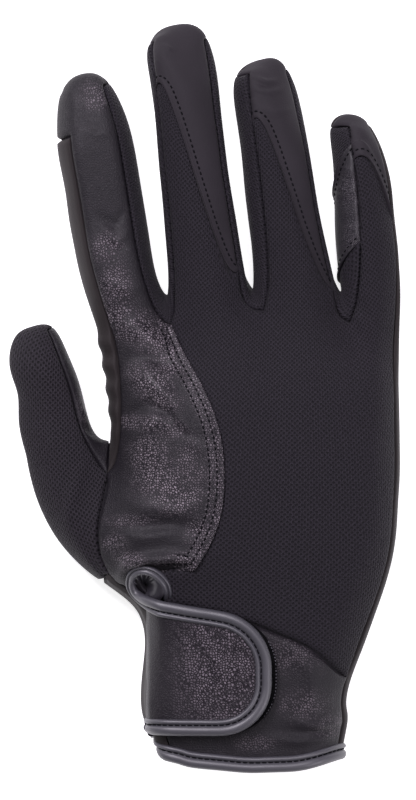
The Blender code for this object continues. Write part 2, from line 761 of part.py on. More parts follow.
def tab_grid(tree, length, grow, cells):
    """Points on the skin under the tab's tip end, column by column, with their normals."""
    tip = TAB_ROOT_X + TAB_LENGTH + grow
    columns, rows = cells
    grid = []
    for column in range(columns + 1):
        share = (1 + math.cos(math.pi * column / columns)) / 2
        low, high = tab_edges(tip - length * share, grow)
        for row in range(rows + 1):
            y = blend(low, high, row / rows)
            root = tab_root(tree, y) if length == TAB_LENGTH else Vector((tip - length, y, 0))
            x = blend(tip, root.x, share)
            under = tree.ray_cast(Vector((x, y, PALM_WIDTH)), Vector((0, 0, -1)))[0]
            grid.append((root if column == 0 and root.z else under)[:])
    faces = []
    for column in range(columns):
        for row in range(rows):
            a = column * (rows + 1) + row
            faces.append((a, a + rows + 1, a + rows + 2, a + 1))
    grid = np.array(grid)
    return grid, vertex_normals(grid, faces), faces


def tab_rises(grid, high, vent):
    """Height of the tab above the skin: low at its root, clear of the vent's binding and the grip pads."""
    share = np.clip((grid[:, 0] - TAB_ROOT_X) / (TAB_LENGTH - GRIP_LENGTH), 0, 1)
    low = FOLD_GAP + BINDING_WALL + ROOT_RISE
    from_vent = np.linalg.norm(grid - vent, axis=1) - VENT_LENGTH / 2 - VENT_LEG
    near_vent = np.clip(1 - from_vent / TAB_WIDTH, 0, 1) * (VENT_RISE - ROOT_RISE)
    return np.maximum(low + (high - low) * share, low + near_vent)[:, None]


def make_closure(skin, finishes):
    """The tab, its binding, and the grip pads: one on the cuff and one under the tab."""
    places, faces, labels = skin
    tree = BVHTree.FromPolygons([Vector(p) for p in places], faces)
    vent = places[[i for face, label in zip(faces, labels) if label == VENT for i in face]].mean(axis=0)

    grid, ups, cells = tab_grid(tree, GRIP_LENGTH, GRIP_STEP, GRIP_CELLS)
    under = grid + ups * LAYER_GAP
    wall_object("loop_patch", under + ups * PATCH_WALL, under, cells, finishes["grip_tape"])

    high = 2 * LAYER_GAP + PATCH_WALL + FOLD_GAP + BINDING_WALL
    inset = -(TAB_LEG + 2 * LAYER_GAP)
    grid, ups, cells = tab_grid(tree, GRIP_LENGTH + 2 * inset, inset, GRIP_CELLS)
    over = grid + ups * (high - LAYER_GAP)
    wall_object("hook_patch", over, over - ups * PATCH_WALL, cells, finishes["grip_tape"])

    grid, ups, cells = tab_grid(tree, TAB_LENGTH, 0.0, TAB_CELLS)
    under = grid + ups * tab_rises(grid, high, vent)
    upper = under + ups * TAB_WALL
    wall_object("closure_tab", upper, under, cells, finishes["grain_leather"])

    columns, rows = TAB_CELLS
    low_edge = [column * (rows + 1) for column in range(columns + 1)]
    tip_edge = [columns * (rows + 1) + row for row in range(1, rows)]
    path = low_edge + tip_edge + [i + rows for i in low_edge[::-1]]
    along = np.gradient(upper[path], axis=0)
    inward = np.cross(ups[path], along)
    inward *= TAB_LEG / np.linalg.norm(inward, axis=1)[:, None]
    top = BVHTree.FromPolygons([Vector(p) for p in upper], cells)
    inside = [top.find_nearest(Vector(p))[:2] for p in upper[path] + inward]
    inside_ups = [np.array(up) + edge_up for (_, up), edge_up in zip(inside, ups[path])]
    rim = [upper[path], ups[path], [np.array(p) for p, _ in inside], inside_ups]
    make_binding("tab_binding", rim, TAB_WALL, TAB_LEG, finishes["binding_leather"], gap=FOLD_GAP)


def main():
    clear_scene()
    finishes = make_finishes()
    cage = Cage()
    add_sheets(cage)
    add_sides(cage)
    add_tips(cage)
    skin = fitted_skin(cage)
    make_panels(skin, finishes)
    make_rein_patch(skin, finishes)
    make_hem_binding(skin, finishes)
    make_vent_binding(skin, finishes)
    make_closure(skin, finishes)


main()
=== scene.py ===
# %% [markdown]
# # A riding glove for the right hand, lying on its palm
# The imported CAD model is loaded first, and stays where it is: every soft panel of it is then sewn again in
# finer detail and takes its CAD panel's place. Sizes are in metres, +Z is up, +Y points to the fingertips.

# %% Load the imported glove
import math

import bpy
import numpy as np
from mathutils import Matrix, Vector, noise
from mathutils.bvhtree import BVHTree
from mathutils.kdtree import KDTree


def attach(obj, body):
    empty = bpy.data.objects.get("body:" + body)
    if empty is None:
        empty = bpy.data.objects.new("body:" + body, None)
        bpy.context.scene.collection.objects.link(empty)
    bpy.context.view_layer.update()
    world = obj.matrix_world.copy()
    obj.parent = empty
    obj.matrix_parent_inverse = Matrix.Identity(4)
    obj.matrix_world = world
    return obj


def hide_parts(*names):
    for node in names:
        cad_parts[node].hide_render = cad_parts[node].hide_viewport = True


MM = 0.001
BODY = "root"
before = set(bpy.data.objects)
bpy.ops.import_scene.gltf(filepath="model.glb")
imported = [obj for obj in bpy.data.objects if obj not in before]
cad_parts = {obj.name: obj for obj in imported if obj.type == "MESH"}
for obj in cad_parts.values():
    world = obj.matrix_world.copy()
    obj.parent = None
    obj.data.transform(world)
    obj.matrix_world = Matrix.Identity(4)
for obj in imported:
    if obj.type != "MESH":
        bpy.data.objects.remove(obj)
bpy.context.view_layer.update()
print("CAD panels:", len(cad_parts))

# %% [markdown]
# ## Camera, floor and light
# A glove like this is photographed from straight above on a light table. A long lens far away keeps its
# sides from leaning outwards. Large soft lights leave hardly any shadow, and give black leather its sheen.

# %% Camera straight above
IMAGE_CENTRE = (-12.7 * MM, 24.2 * MM)
IMAGE_HEIGHT = 242.4 * MM
CAMERA_HEIGHT = 1.5
SENSOR = 36.0
SHARP_LEVEL = 10 * MM

lens = bpy.data.cameras.new("camera")
lens.sensor_fit = "VERTICAL"
lens.sensor_height = SENSOR
lens.lens = SENSOR * (CAMERA_HEIGHT - SHARP_LEVEL) / IMAGE_HEIGHT
camera = bpy.data.objects.new("camera", lens)
camera.location = (*IMAGE_CENTRE, CAMERA_HEIGHT)
bpy.context.scene.collection.objects.link(camera)
bpy.context.scene.camera = camera
bpy.context.scene.view_settings.view_transform = "Standard"
print("lens", round(lens.lens), "mm")


# %% Floor and lights
def new_mesh(name, points, faces, smooth=True):
    """A mesh object in the scene, made from points and faces."""
    mesh = bpy.data.meshes.new(name)
    mesh.from_pydata([tuple(p) for p in points], [], [tuple(f) for f in faces])
    if smooth:
        mesh.shade_smooth()
    made = bpy.data.objects.new(name, mesh)
    bpy.context.scene.collection.objects.link(made)
    return made


def area_light(name, place, size, power):
    """A square soft light that looks at the middle of the glove."""
    lamp = bpy.data.lights.new(name, "AREA")
    lamp.size = size
    lamp.energy = power
    lamp.color = LAMP_COLOUR
    made = bpy.data.objects.new(name, lamp)
    made.location = place
    aim = Vector((*IMAGE_CENTRE, 0)) - Vector(place)
    made.rotation_euler = aim.to_track_quat("-Z", "Y").to_euler()
    bpy.context.scene.collection.objects.link(made)


FLOOR_HALF, FLOOR_DEPTH = 3.0, 0.3 * MM
LAMP_COLOUR = (1.0, 0.94, 1.04)
corners = [(-1, -1), (1, -1), (1, 1), (-1, 1)]
floor_points = [(x * FLOOR_HALF, y * FLOOR_HALF, -FLOOR_DEPTH) for x, y in corners]
floor = new_mesh("floor", floor_points, [(0, 1, 2, 3)])
area_light("window_light", (-0.5, 0.75, 0.9), 0.4, 13)
area_light("fill_light", (0.75, -0.45, 0.7), 0.35, 4)
area_light("top_light", (0.1, 0.5, 1.3), 0.45, 6)
sky = bpy.data.worlds.new("studio")
sky.use_nodes = True
sky.node_tree.nodes["Background"].inputs["Color"].default_value = (1, 1, 1, 1)
sky.node_tree.nodes["Background"].inputs["Strength"].default_value = 0.22
bpy.context.scene.world = sky

# %% [markdown]
# ## Tools for meshes
# The glove is made of points and quads in arrays. A few short functions read them from meshes and look up
# places on them, and all later cells use them.

# %% Reading meshes and looking up places
ABOVE_ALL, TINY = 90 * MM, 1e-12


def values_of(items, what, width, shape, kind=float):
    """One property of all vertices, corners or faces, with width numbers each, as an array."""
    values = np.zeros(len(items) * width, kind)
    items.foreach_get(what, values)
    return values.reshape(shape)


def unit_rows(rows):
    """The same vectors, each with length 1."""
    return rows / np.maximum(np.linalg.norm(rows, axis=1), TINY)[:, None]


def sides_of(face):
    """The four directed edges of a quad."""
    return [(face[i], face[(i + 1) % 4]) for i in range(4)]


def rim_edges(faces):
    """Directed edges that only one face uses."""
    edges = {side for face in faces.tolist() for side in sides_of(face)}
    return [e for e in edges if e[::-1] not in edges]


def tube_faces(rows, size, closed=False):
    """Quads between rows of points, each row a ring of the same size."""
    faces = []
    for k in range(rows if closed else rows - 1):
        near, far = k * size, (k + 1) % rows * size
        faces += [(near + j, near + (j + 1) % size, far + (j + 1) % size, far + j) for j in range(size)]
    return faces


def slab(name, upper, lower, quads):
    """A closed sheet between two grids of points."""
    count = len(upper)
    made = quads.tolist() + (quads[:, ::-1] + count).tolist()
    made += [(b, a, a + count, b + count) for a, b in rim_edges(quads)]
    return new_mesh(name, np.vstack([upper, lower]), made)


def surface_of(points, quads):
    """A search tree of a surface, for rays and for the nearest place on it."""
    return BVHTree.FromPolygons([Vector(p) for p in points], quads.tolist())


def hit_below(surface, x, y):
    """Where a ray straight down at (x, y) meets a surface, and its normal there."""
    return surface.ray_cast(Vector((x, y, ABOVE_ALL)), Vector((0, 0, -1)))[:2]


def tree_of(spots):
    """A search tree of places."""
    tree = KDTree(len(spots))
    for order, spot in enumerate(spots):
        tree.insert(Vector(spot), order)
    tree.balance()
    return tree


def gaps_to(tree, points):
    """Distance of each point from the nearest place in a tree."""
    return np.array([tree.find(Vector(p))[2] for p in points.tolist()])


def noise_at(points, size):
    """Smooth noise at each point, its waves about size long."""
    return np.array([noise.noise(Vector(p) / size) for p in points.tolist()])


print("rays start at", round(ABOVE_ALL / MM), "mm")

# %% [markdown]
# ## The hand's shape as a cage
# A glove is flat leather and cloth sewn round a hand. Its whole skin is one coarse cage of named stations,
# which a subdivision surface rounds off. The tables say where each station lies, as shares of a few sizes.

# %% Sizes of the hand
PALM_WIDTH = 90 * MM
PALM_HEIGHT = 27 * MM
KNUCKLE_REACH = 51 * MM
CUFF_WIDTH = 62 * MM
CUFF_HEIGHT = 22.5 * MM
CUFF_REACH = 88 * MM
KNUCKLE_VALLEY = 5 * MM
SEAM_TURN = 1.2 * MM
SOLE_TURN = 2.6 * MM
WEB_REACH = 12 * MM
WEB_HEIGHT = 8 * MM
SOLE_LIFTS = {"hem": 2.2 * MM, "cuff_low": 0.9 * MM}
LEFT_RISE, LEFT_BULGE = 0.42, 0.25
RIGHT_RISE, RIGHT_BULGE = 0.55, 0.32
ROUNDNESS, SOLE_SQUARENESS, EQUATOR = 2.3, 3.4, 0.46

# %% Stations of the hand, from the hem to the knuckles
STATION_Y = (
    # station, and where six lines cross it, as shares of CUFF_REACH (below 0) or KNUCKLE_REACH
    ("hem", -0.905, -0.942, -0.968, -0.985, -0.98, -0.945),
    ("cuff_low", -0.81, -0.825, -0.86, -0.875, -0.875, -0.865),
    ("cuff_mid", -0.64, -0.65, -0.665, -0.68, -0.73, -0.8),
    ("cuff_top", -0.46, -0.42, -0.425, -0.48, -0.57, -0.695),
    ("vent_top", -0.35, -0.33, -0.305, -0.295, -0.32, -0.385),
    ("thumb_low", -0.19, -0.16, -0.15, -0.135, -0.145, -0.18),
    ("thumb_crotch", 0.06, 0.02, 0.05, 0.06, 0.04, 0.0),
    ("palm_mid", 0.335, 0.335, 0.335, 0.355, 0.335, 0.315),
    ("palm_high", 0.63, 0.63, 0.63, 0.675, 0.65, 0.62),
    ("knuckle", 0.88, 0.88, 0.88, 1.0, 0.92, 0.9),
)
STATION_X = (
    # part, x of lines 0, 1, 2 and 5 on the back, of lines 1 and 2 on the palm, rise of line 1, crown
    ("cuff", -0.9, -0.84, -0.55, 0.9, -0.62, -0.36, 0.8, 0.93),
    ("cuff", -1.075, -0.96, -0.61, 0.94, -0.7, -0.38, 0.78, 0.98),
    ("cuff", -1.05, -0.95, -0.66, 0.96, -0.72, -0.4, 0.78, 1.0),
    ("cuff", -1.08, -1.03, -0.7, 0.975, -0.8, -0.42, 0.66, 1.06),
    ("palm", -1.005, -0.965, -0.38, 0.905, -0.7, -0.3, 0.58, 0.96),
    ("palm", -1.335, -1.04, -0.21, 0.985, -0.95, -0.25, 0.67, 1.0),
    ("palm", -1.49, -0.955, -0.178, 1.01, -0.955, -0.178, 0.48, 1.0),
    ("palm", -0.933, -0.89, -0.222, 1.01, -0.933, -0.222, 0.6, 0.96),
    ("palm", -0.973, -0.882, -0.378, 1.003, -0.973, -0.378, 0.56, 0.87),
    ("palm", -1.03, -0.933, -0.533, 1.01, -1.03, -0.533, 0.52, 0.7),
)
STATIONS = tuple(row[0] for row in STATION_Y)
CUFF_TOP, VENT_TOP = STATIONS.index("cuff_top"), STATIONS.index("vent_top")
THUMB_CROTCH, KNUCKLE = STATIONS.index("thumb_crotch"), STATIONS.index("knuckle")
FINGER_LINES = {3: (0.37, 0.406), 4: (0.69, 0.783)}
THUMB_ARCHES, PLAIN_ARCH = {"thumb_crotch": 0.3, "thumb_low": 0.16}, 0.04
VALLEYS, VALLEY_PLACES = {"knuckle": 1.0, "palm_high": 0.3}, (1.5, 4.5)
print("stations:", ", ".join(STATIONS))

# %% Stations of the five digits
DIGITS = (
    # name, length, width, height, lean, bow, base x and y, left and right seam of the back, columns
    ("thumb", 47 * MM, 20.4 * MM, 15 * MM, 14.8, 0.0, -1.2, 0.04, -0.92, 0.72, 2),
    ("index", 80 * MM, 22.5 * MM, 16.5 * MM, 10.5, -0.08, -0.782, 0.88, -0.62, 0.64, 3),
    ("middle", 91 * MM, 21.2 * MM, 16.5 * MM, 7.2, -0.06, -0.233, 0.94, -0.88, 0.9, 2),
    ("ring", 80 * MM, 21 * MM, 16 * MM, 8.9, -0.11, 0.367, 0.96, -0.55, 0.94, 2),
    ("little", 65 * MM, 18.4 * MM, 14 * MM, 5.8, 0.03, 0.832, 0.91, -0.2, 0.95, 2),
)
CUTS = {
    # where a cap's lower edge crosses the left seam, the middle and the right seam
    "thumb": (0.42, 0.42, 0.42),
    "index": (0.42, 0.42, 0.42),
    "middle": (0.87, 0.54, 0.15),
    "ring": (0.845, 0.5, 0.07),
    "little": (0.86, 0.8, 0.5),
}
HALF_WIDTHS = {
    # half widths left and right of the centre line at the six steps, as shares of half the width
    "thumb": ((1.19, 1.17, 0.92, 1.04, 0.96, 0.58), (0.96, 0.91, 0.9, 0.76, 0.72, 0.56)),
    "index": ((1.06, 1.06, 1.0, 1.03, 1.1, 0.7), (0.95, 1.06, 1.1, 1.03, 1.02, 0.58)),
    "middle": ((1.02, 0.99, 0.84, 0.92, 0.97, 0.88), (1.08, 1.05, 0.96, 1.04, 1.12, 0.8)),
    "ring": ((1.11, 0.98, 0.86, 0.9, 0.96, 0.86), (1.11, 1.1, 1.07, 1.08, 0.9, 0.66)),
    "little": ((1.0, 0.99, 0.93, 0.78, 0.8, 0.78), (1.0, 1.02, 1.02, 0.92, 0.76, 0.51)),
}
TIPS = {
    # how far each tip lies along its digit, and how far to the side as a share of the width
    "thumb": (0.988, 0.0),
    "index": (1.003, -0.04),
    "middle": (1.014, -0.07),
    "ring": (1.01, -0.07),
    "little": (1.02, -0.13),
}
STEPS = (0.15, 0.4, 0.6, 0.8, 0.9, 0.96)
HEIGHTS = (1.08, 1.0, 0.98, 0.92, 0.8, 0.6)
SOLE_CUT, SIDE_CUT, SOLE_SEAMS = 0.42, 0.65, (-0.82, 0.82)
VENT_COLUMNS = {(1, 1): 0.32, (1, 2): 0.62}
TIP_HALF_WIDTH, LAST_RING = 0.3, 0.95
ROWS_TO_CUT, ROWS_PAST_CUT = 2, 3
ROWS = ROWS_TO_CUT + ROWS_PAST_CUT
WEBS = {1: (0.04, 0.97, 0.35), 2: (-0.04, 0.92, 0.46), 3: (-0.33, 0.5, 0.3), 4: (-0.26, 0.88, 0.3)}
NAMES = tuple(row[0] for row in DIGITS)
COLUMNS = tuple(row[10] for row in DIGITS)
BASE_ROW = (THUMB_CROTCH, KNUCKLE, KNUCKLE, KNUCKLE, KNUCKLE)
print("digits:", ", ".join(NAMES))


# %% Where a station of the hand lies
def blend(a, b, share):
    return a + (b - a) * share


def trunk_sizes(row):
    """Half width and height of the cuff or of the palm."""
    if STATION_X[row][0] == "cuff":
        return CUFF_WIDTH / 2, CUFF_HEIGHT
    return PALM_WIDTH / 2, PALM_HEIGHT


def line_x(sheet, line, row):
    half, _ = trunk_sizes(row)
    x0, x1, x2, x5, sole1, sole2 = STATION_X[row][1:7]
    shares = {0: x0, 1: x1, 2: x2, 5: x5}
    if sheet == "palm":
        shares = {0: x0, 1: sole1, 2: sole2, 5: x5}
    if line in FINGER_LINES:
        return half * blend(shares[2], shares[5], blend(*FINGER_LINES[line], row / KNUCKLE))
    return half * shares[line]


def line_y(line, row):
    share = STATION_Y[row][1 + line]
    return share * (KNUCKLE_REACH if share > 0 else CUFF_REACH)


def sole_lift(row):
    return SOLE_LIFTS.get(STATIONS[row], 0.0)


def back_height(row, x, place):
    """Height of the back at x; place counts the six lines from 0 to 5."""
    _, height = trunk_sizes(row)
    rise, crown = STATION_X[row][7] * height, STATION_X[row][8] * height
    if place < 1:
        arch = THUMB_ARCHES.get(STATIONS[row], PLAIN_ARCH) * DIGITS[0][3]
        return blend(LEFT_RISE * height + sole_lift(row), rise, place) + arch * 4 * place * (1 - place)
    left, right = line_x("back", 1, row), line_x("back", 5, row) - SEAM_TURN
    middle = (left + right) / 2
    low = rise if x < middle else crown * RIGHT_RISE + sole_lift(row)
    out = abs((x - middle) / (middle - left))
    top = low + (crown - low) * max(0.0, 1 - out**ROUNDNESS) ** (1 / ROUNDNESS)
    if VALLEY_PLACES[0] < place < VALLEY_PLACES[1]:
        top -= VALLEYS.get(STATIONS[row], 0.0) * KNUCKLE_VALLEY * abs(2 * (place % 1) - 1)
    return top


def sole_reach(place, row):
    """How far the palm's crotches lie ahead of the back's, as a share of WEB_REACH."""
    if row == THUMB_CROTCH:
        return WEBS[1][2] * max(0.0, 1 - abs(place - 1))
    if row == KNUCKLE:
        return float(np.interp(place, sorted(WEBS), [WEBS[line][2] for line in sorted(WEBS)]))
    return 0.0


def trunk_point(sheet, place, row):
    line = min(int(place), 4)
    x = blend(line_x(sheet, line, row), line_x(sheet, line + 1, row), place - line)
    y = blend(line_y(line, row), line_y(line + 1, row), place - line)
    on_left = place == 0 or (row > THUMB_CROTCH and place == 1)
    on_right = place == 5
    if sheet == "back":
        x += SEAM_TURN * ((place == 0) - on_right)
        return Vector((x, y, back_height(row, x, place)))
    y += WEB_REACH * sole_reach(place, row)
    if on_left:
        x = line_x(sheet, 0, row) + SOLE_TURN
    x -= SOLE_TURN * on_right
    return Vector((x, y, sole_lift(row) + SOLE_TURN * (on_left or on_right)))


def trunk_side(side, row):
    line = 0 if side == "left" else 5
    share = LEFT_BULGE if side == "left" and row <= THUMB_CROTCH else RIGHT_BULGE
    _, height = trunk_sizes(row)
    return Vector((line_x("back", line, row), line_y(line, row), share * height + sole_lift(row)))


# %% Where a station of a digit lies
def digit_axis(band, share):
    """Centre line of a digit and the direction across it."""
    _, length, width, _, lean, bow, base_x, base_y = DIGITS[band][:8]
    turn = math.radians(lean)
    along, across = Vector((-math.sin(turn), math.cos(turn))), Vector((math.cos(turn), math.sin(turn)))
    base = Vector((base_x * PALM_WIDTH / 2, base_y * KNUCKLE_REACH))
    return base + along * length * share + across * bow * width * 4 * share * (1 - share), across


def digit_point(band, share, angle):
    name, _, width, height = DIGITS[band][:4]
    sides = HALF_WIDTHS[name][math.cos(angle) > 0]
    half = width / 2 * float(np.interp(share, STEPS, sides))
    tall = height * float(np.interp(share, STEPS, HEIGHTS))
    power = 2 / (ROUNDNESS if math.sin(angle) > 0 else SOLE_SQUARENESS)
    out = math.copysign(abs(math.cos(angle)) ** power, math.cos(angle))
    up = math.copysign(abs(math.sin(angle)) ** power, math.sin(angle))
    centre, across = digit_axis(band, share)
    place = centre + across * half * out
    middle = EQUATOR * tall
    return Vector((place.x, place.y, middle + up * (tall - middle if up > 0 else middle)))


def seam_angle(lateral, sheet):
    power = ROUNDNESS if sheet == "back" else SOLE_SQUARENESS
    angle = math.acos(math.copysign(abs(lateral) ** (power / 2), lateral))
    return angle if sheet == "back" else -angle


def row_share(cut, row):
    if row <= ROWS_TO_CUT:
        return LAST_RING * cut * row / ROWS_TO_CUT
    return LAST_RING * blend(cut, 1.0, (row - ROWS_TO_CUT) / ROWS_PAST_CUT)


def cut_at(band, part):
    return float(np.interp(part, (0, 0.5, 1), CUTS[NAMES[band]]))


def sheet_point(sheet, band, column, row):
    base, part = BASE_ROW[band], column / COLUMNS[band]
    if row <= base:
        return trunk_point(sheet, band + VENT_COLUMNS.get((band, column), part), row)
    edge = DIGITS[band][8:10] if sheet == "back" else SOLE_SEAMS
    angle = blend(seam_angle(edge[0], sheet), seam_angle(edge[1], sheet), part)
    cut = cut_at(band, part) if sheet == "back" else SOLE_CUT
    return digit_point(band, row_share(cut, row - base), angle)


def side_point(band, side, row):
    if row <= BASE_ROW[band]:
        return trunk_side(side, row)
    cut = blend(cut_at(band, 0.0 if side == "left" else 1.0), SOLE_CUT, SIDE_CUT)
    return digit_point(band, row_share(cut, row - BASE_ROW[band]), math.pi if side == "left" else 0.0)


def web_point(line):
    crotch = trunk_point("back", line, BASE_ROW[line - 1])
    sideways, forward, _ = WEBS[line]
    return Vector((crotch.x + sideways * WEB_REACH, crotch.y + forward * WEB_REACH, WEB_HEIGHT))


def tip_point(band, column):
    name, _, width, height = DIGITS[band][:4]
    share, shift = TIPS[name]
    centre, across = digit_axis(band, share)
    place = centre + across * width * (TIP_HALF_WIDTH * (column / COLUMNS[band] - 0.5) + shift)
    return Vector((place.x, place.y, EQUATOR * height * HEIGHTS[-1]))


# %% [markdown]
# ## Cutting the skin into panels
# Each face of the cage carries the name of the panel that it is cut from, as a pattern piece does. Where
# two names meet there is a seam. The panels differ in material: mesh over the hand, leather where reins run.

# %% Faces of the cage and their panels
VENT, PATCH = "vent", "rein_patch"
FOURCHETTES = {2: "index_middle_fourchette", 3: "middle_ring_fourchette", 4: "ring_little_fourchette"}
CAPS = ("middle_cap", "ring_cap", "little_cap")
LABELS = ("palm", "thumb_front", "thumb_back", "thumb_gusset", "index_back", "back_of_hand", "cuff_back")
LABELS = (*LABELS, *CAPS, *FOURCHETTES.values(), PATCH, VENT)


class Cage:
    """Named points and labelled faces of the glove's skin."""

    def __init__(self):
        self.index, self.points, self.faces, self.labels = {}, [], [], []

    def point(self, key, place):
        if key not in self.index:
            self.index[key] = len(self.points)
            self.points.append(place)
        return self.index[key]

    def sheet(self, sheet, band, column, row):
        line = band + 1
        if column == COLUMNS[band] and line in WEBS and row <= BASE_ROW[band]:
            band, column = line, 0
        key = (sheet, band, column, row)
        return self.point(key, sheet_point(*key))

    def side(self, band, side, row):
        line = band if side == "left" else band + 1
        if line in WEBS and row == BASE_ROW[line - 1]:
            return self.point(("web", line), web_point(line))
        if side == "left" and row <= THUMB_CROTCH:
            band = 0
        return self.point(("side", side, band, row), side_point(band, side, row))

    def face(self, label, corners):
        self.faces.append(corners)
        self.labels.append(label)


def back_label(band, column, row):
    if band == 0:
        return "palm" if row < VENT_TOP else "thumb_back"
    if row < CUFF_TOP:
        return "palm" if band == 1 and column == 0 else "cuff_back"
    if band == 1:
        lowest = ("index_back", VENT, "back_of_hand")
        return lowest[column] if row == CUFF_TOP else "index_back"
    return "back_of_hand" if row < KNUCKLE + ROWS_TO_CUT else NAMES[band] + "_cap"


def side_label(band, side, row):
    if band == 0:
        if side == "right":
            return "thumb_gusset"
        return "palm" if row < VENT_TOP else "thumb_back"
    if band == 1 and side == "left":
        return "index_back" if row == KNUCKLE + ROWS - 1 else "palm"
    if band == 4 and side == "right":
        return "palm"
    if band == 4 and KNUCKLE < row < KNUCKLE + ROWS - 2:
        return PATCH
    return FOURCHETTES[band if side == "left" else band + 1]


def add_sheets(cage):
    for band, columns in enumerate(COLUMNS):
        for row in range(BASE_ROW[band] + ROWS):
            for column in range(columns):
                ring = ((column, row), (column + 1, row), (column + 1, row + 1), (column, row + 1))
                cage.face(back_label(band, column, row), [cage.sheet("back", band, *c) for c in ring])
                label = "thumb_front" if band == 0 and row >= THUMB_CROTCH else "palm"
                cage.face(label, [cage.sheet("palm", band, *c) for c in reversed(ring)])


def add_sides(cage):
    for band in range(len(DIGITS)):
        first = {"left": (0, THUMB_CROTCH)[band == 1] if band < 2 else KNUCKLE}
        first["right"] = 0 if band == 4 else BASE_ROW[band]
        for side, edge in (("left", 0), ("right", COLUMNS[band])):
            for row in range(first[side], BASE_ROW[band] + ROWS):
                rows = (row, row + 1)
                back = [cage.sheet("back", band, edge, r) for r in rows]
                middle = [cage.side(band, side, r) for r in rows]
                sole = [cage.sheet("palm", band, edge, r) for r in rows]
                for upper, lower in ((back, middle), (middle, sole)):
                    corners = [upper[0], lower[0], lower[1], upper[1]]
                    cage.face(side_label(band, side, row), corners if side == "right" else corners[::-1])


def add_tips(cage):
    for band, columns in enumerate(COLUMNS):
        last = BASE_ROW[band] + ROWS
        seam = [cage.side(band, "left", last)]
        seam += [cage.point(("tip", band, c), tip_point(band, c)) for c in range(1, columns)]
        seam.append(cage.side(band, "right", last))
        for column in range(columns):
            for sheet in ("back", "palm"):
                ring = [cage.sheet(sheet, band, column, last), cage.sheet(sheet, band, column + 1, last)]
                ring += [seam[column + 1], seam[column]]
                if sheet == "palm":
                    cage.face("thumb_front" if band == 0 else "palm", ring[::-1])
                else:
                    cage.face(back_label(band, column, last - 1), ring)


cage = Cage()
add_sheets(cage)
add_sides(cage)
add_tips(cage)
print("cage:", len(cage.points), "points,", len(cage.faces), "faces")

# %% [markdown]
# ## Rounding the cage, with a flat map of the cloth
# A subdivision surface shrinks away from its cage, so the cage is pushed out in a few rounds until the
# surface passes through the stations. The panels are then unwrapped, as if their seams were unpicked, so
# that the knit lies on them like real cloth.

# %% Fit the smooth surface to the stations
FIT_ROUNDS, FIT_LEVELS = 7, 3
SOLE_FLAT = 0.3 * MM
VENT_WIDTH, VENT_LENGTH = 9 * MM, 8.2 * MM


def smooth_mesh(points, faces, labels, levels, maps=None):
    """The Catmull-Clark surface as (points, faces, label of each face, place on the flat map)."""
    mesh = bpy.data.meshes.new("cage")
    mesh.from_pydata([tuple(p) for p in points], [], [tuple(f) for f in faces])
    mesh.polygons.foreach_set("material_index", labels)
    if maps is not None:
        mesh.uv_layers.new(name="cloth").uv.foreach_set("vector", maps.ravel())
    thing = bpy.data.objects.new("cage", mesh)
    bpy.context.scene.collection.objects.link(thing)
    rounding = thing.modifiers.new("rounding", "SUBSURF")
    rounding.levels = rounding.render_levels = levels
    made = thing.evaluated_get(bpy.context.evaluated_depsgraph_get()).to_mesh()
    spots = values_of(made.vertices, "co", 3, (-1, 3))
    corners = values_of(made.loops, "vertex_index", 1, (-1, 4), int)
    panel = values_of(made.polygons, "material_index", 1, -1, int)
    flat = None if maps is None else values_of(made.uv_layers[0].uv, "vector", 2, (-1, 4, 2))
    bpy.data.objects.remove(thing)
    return spots, corners, panel, flat


wanted = np.array([tuple(p) for p in cage.points])
cage_labels = [LABELS.index(label) for label in cage.labels]
fitted = wanted.copy()
for _ in range(FIT_ROUNDS):
    rounded, _, _, _ = smooth_mesh(fitted, cage.faces, cage_labels, FIT_LEVELS)
    fitted += wanted - rounded[: len(fitted)]
skin, skin_faces, skin_labels, _ = smooth_mesh(fitted, cage.faces, cage_labels, 1)
skin[skin[:, 2] < SOLE_FLAT, 2] = 0.0

vent_rim = sorted({i for e in rim_edges(skin_faces[skin_labels == LABELS.index(VENT)]) for i in e})
skin_tree = surface_of(skin, skin_faces)
vent_centre = skin[vent_rim].mean(axis=0)
for i in vent_rim:
    turn = math.atan2(*(skin[i] - vent_centre)[1::-1])
    x = vent_centre[0] + VENT_WIDTH / 2 * math.cos(turn)
    y = vent_centre[1] + VENT_LENGTH / 2 * math.sin(turn)
    skin[i] = hit_below(skin_tree, x, y)[0]
print("skin:", len(skin_faces), "faces; vent at", (vent_centre / MM).round(1))

# %% Bend the lower edges of two caps
CAP_BENDS = {"middle": 14 * MM, "ring": 12 * MM}
BEND_REACH = 18 * MM


def bent(place):
    """A point of the skin, moved along its finger so that the edge of its cap runs in an S."""
    for name, bend in CAP_BENDS.items():
        band = NAMES.index(name)
        _, length, width, height = DIGITS[band][:4]
        left, right = DIGITS[band][8:10]
        base, across = digit_axis(band, 0.0)
        along = Vector((-across.y, across.x))
        share = (place.xy - base).dot(along) / length
        if not 0 < share < 1 or place.z < EQUATOR * height:
            continue
        out = (place.xy - digit_axis(band, share)[0]).dot(across)
        half = width / 2 * float(np.interp(share, STEPS, HALF_WIDTHS[name][out > 0]))
        part = (out / half - left) / (right - left)
        if 0 < part < 1:
            away = (share - LAST_RING * cut_at(band, part)) * length / BEND_REACH
            shift = along * bend * math.sin(math.tau * part) * math.exp(-(away**2))
            return place + shift.to_3d()
    return place


skin = np.array([tuple(bent(Vector(p))) for p in skin])


# %% Unwrap the panels and round them further
FINE_LEVELS = 3
DRAWN_LENGTHS, DRAWN_SHARES = (40, 110), (0.82, 1.0)


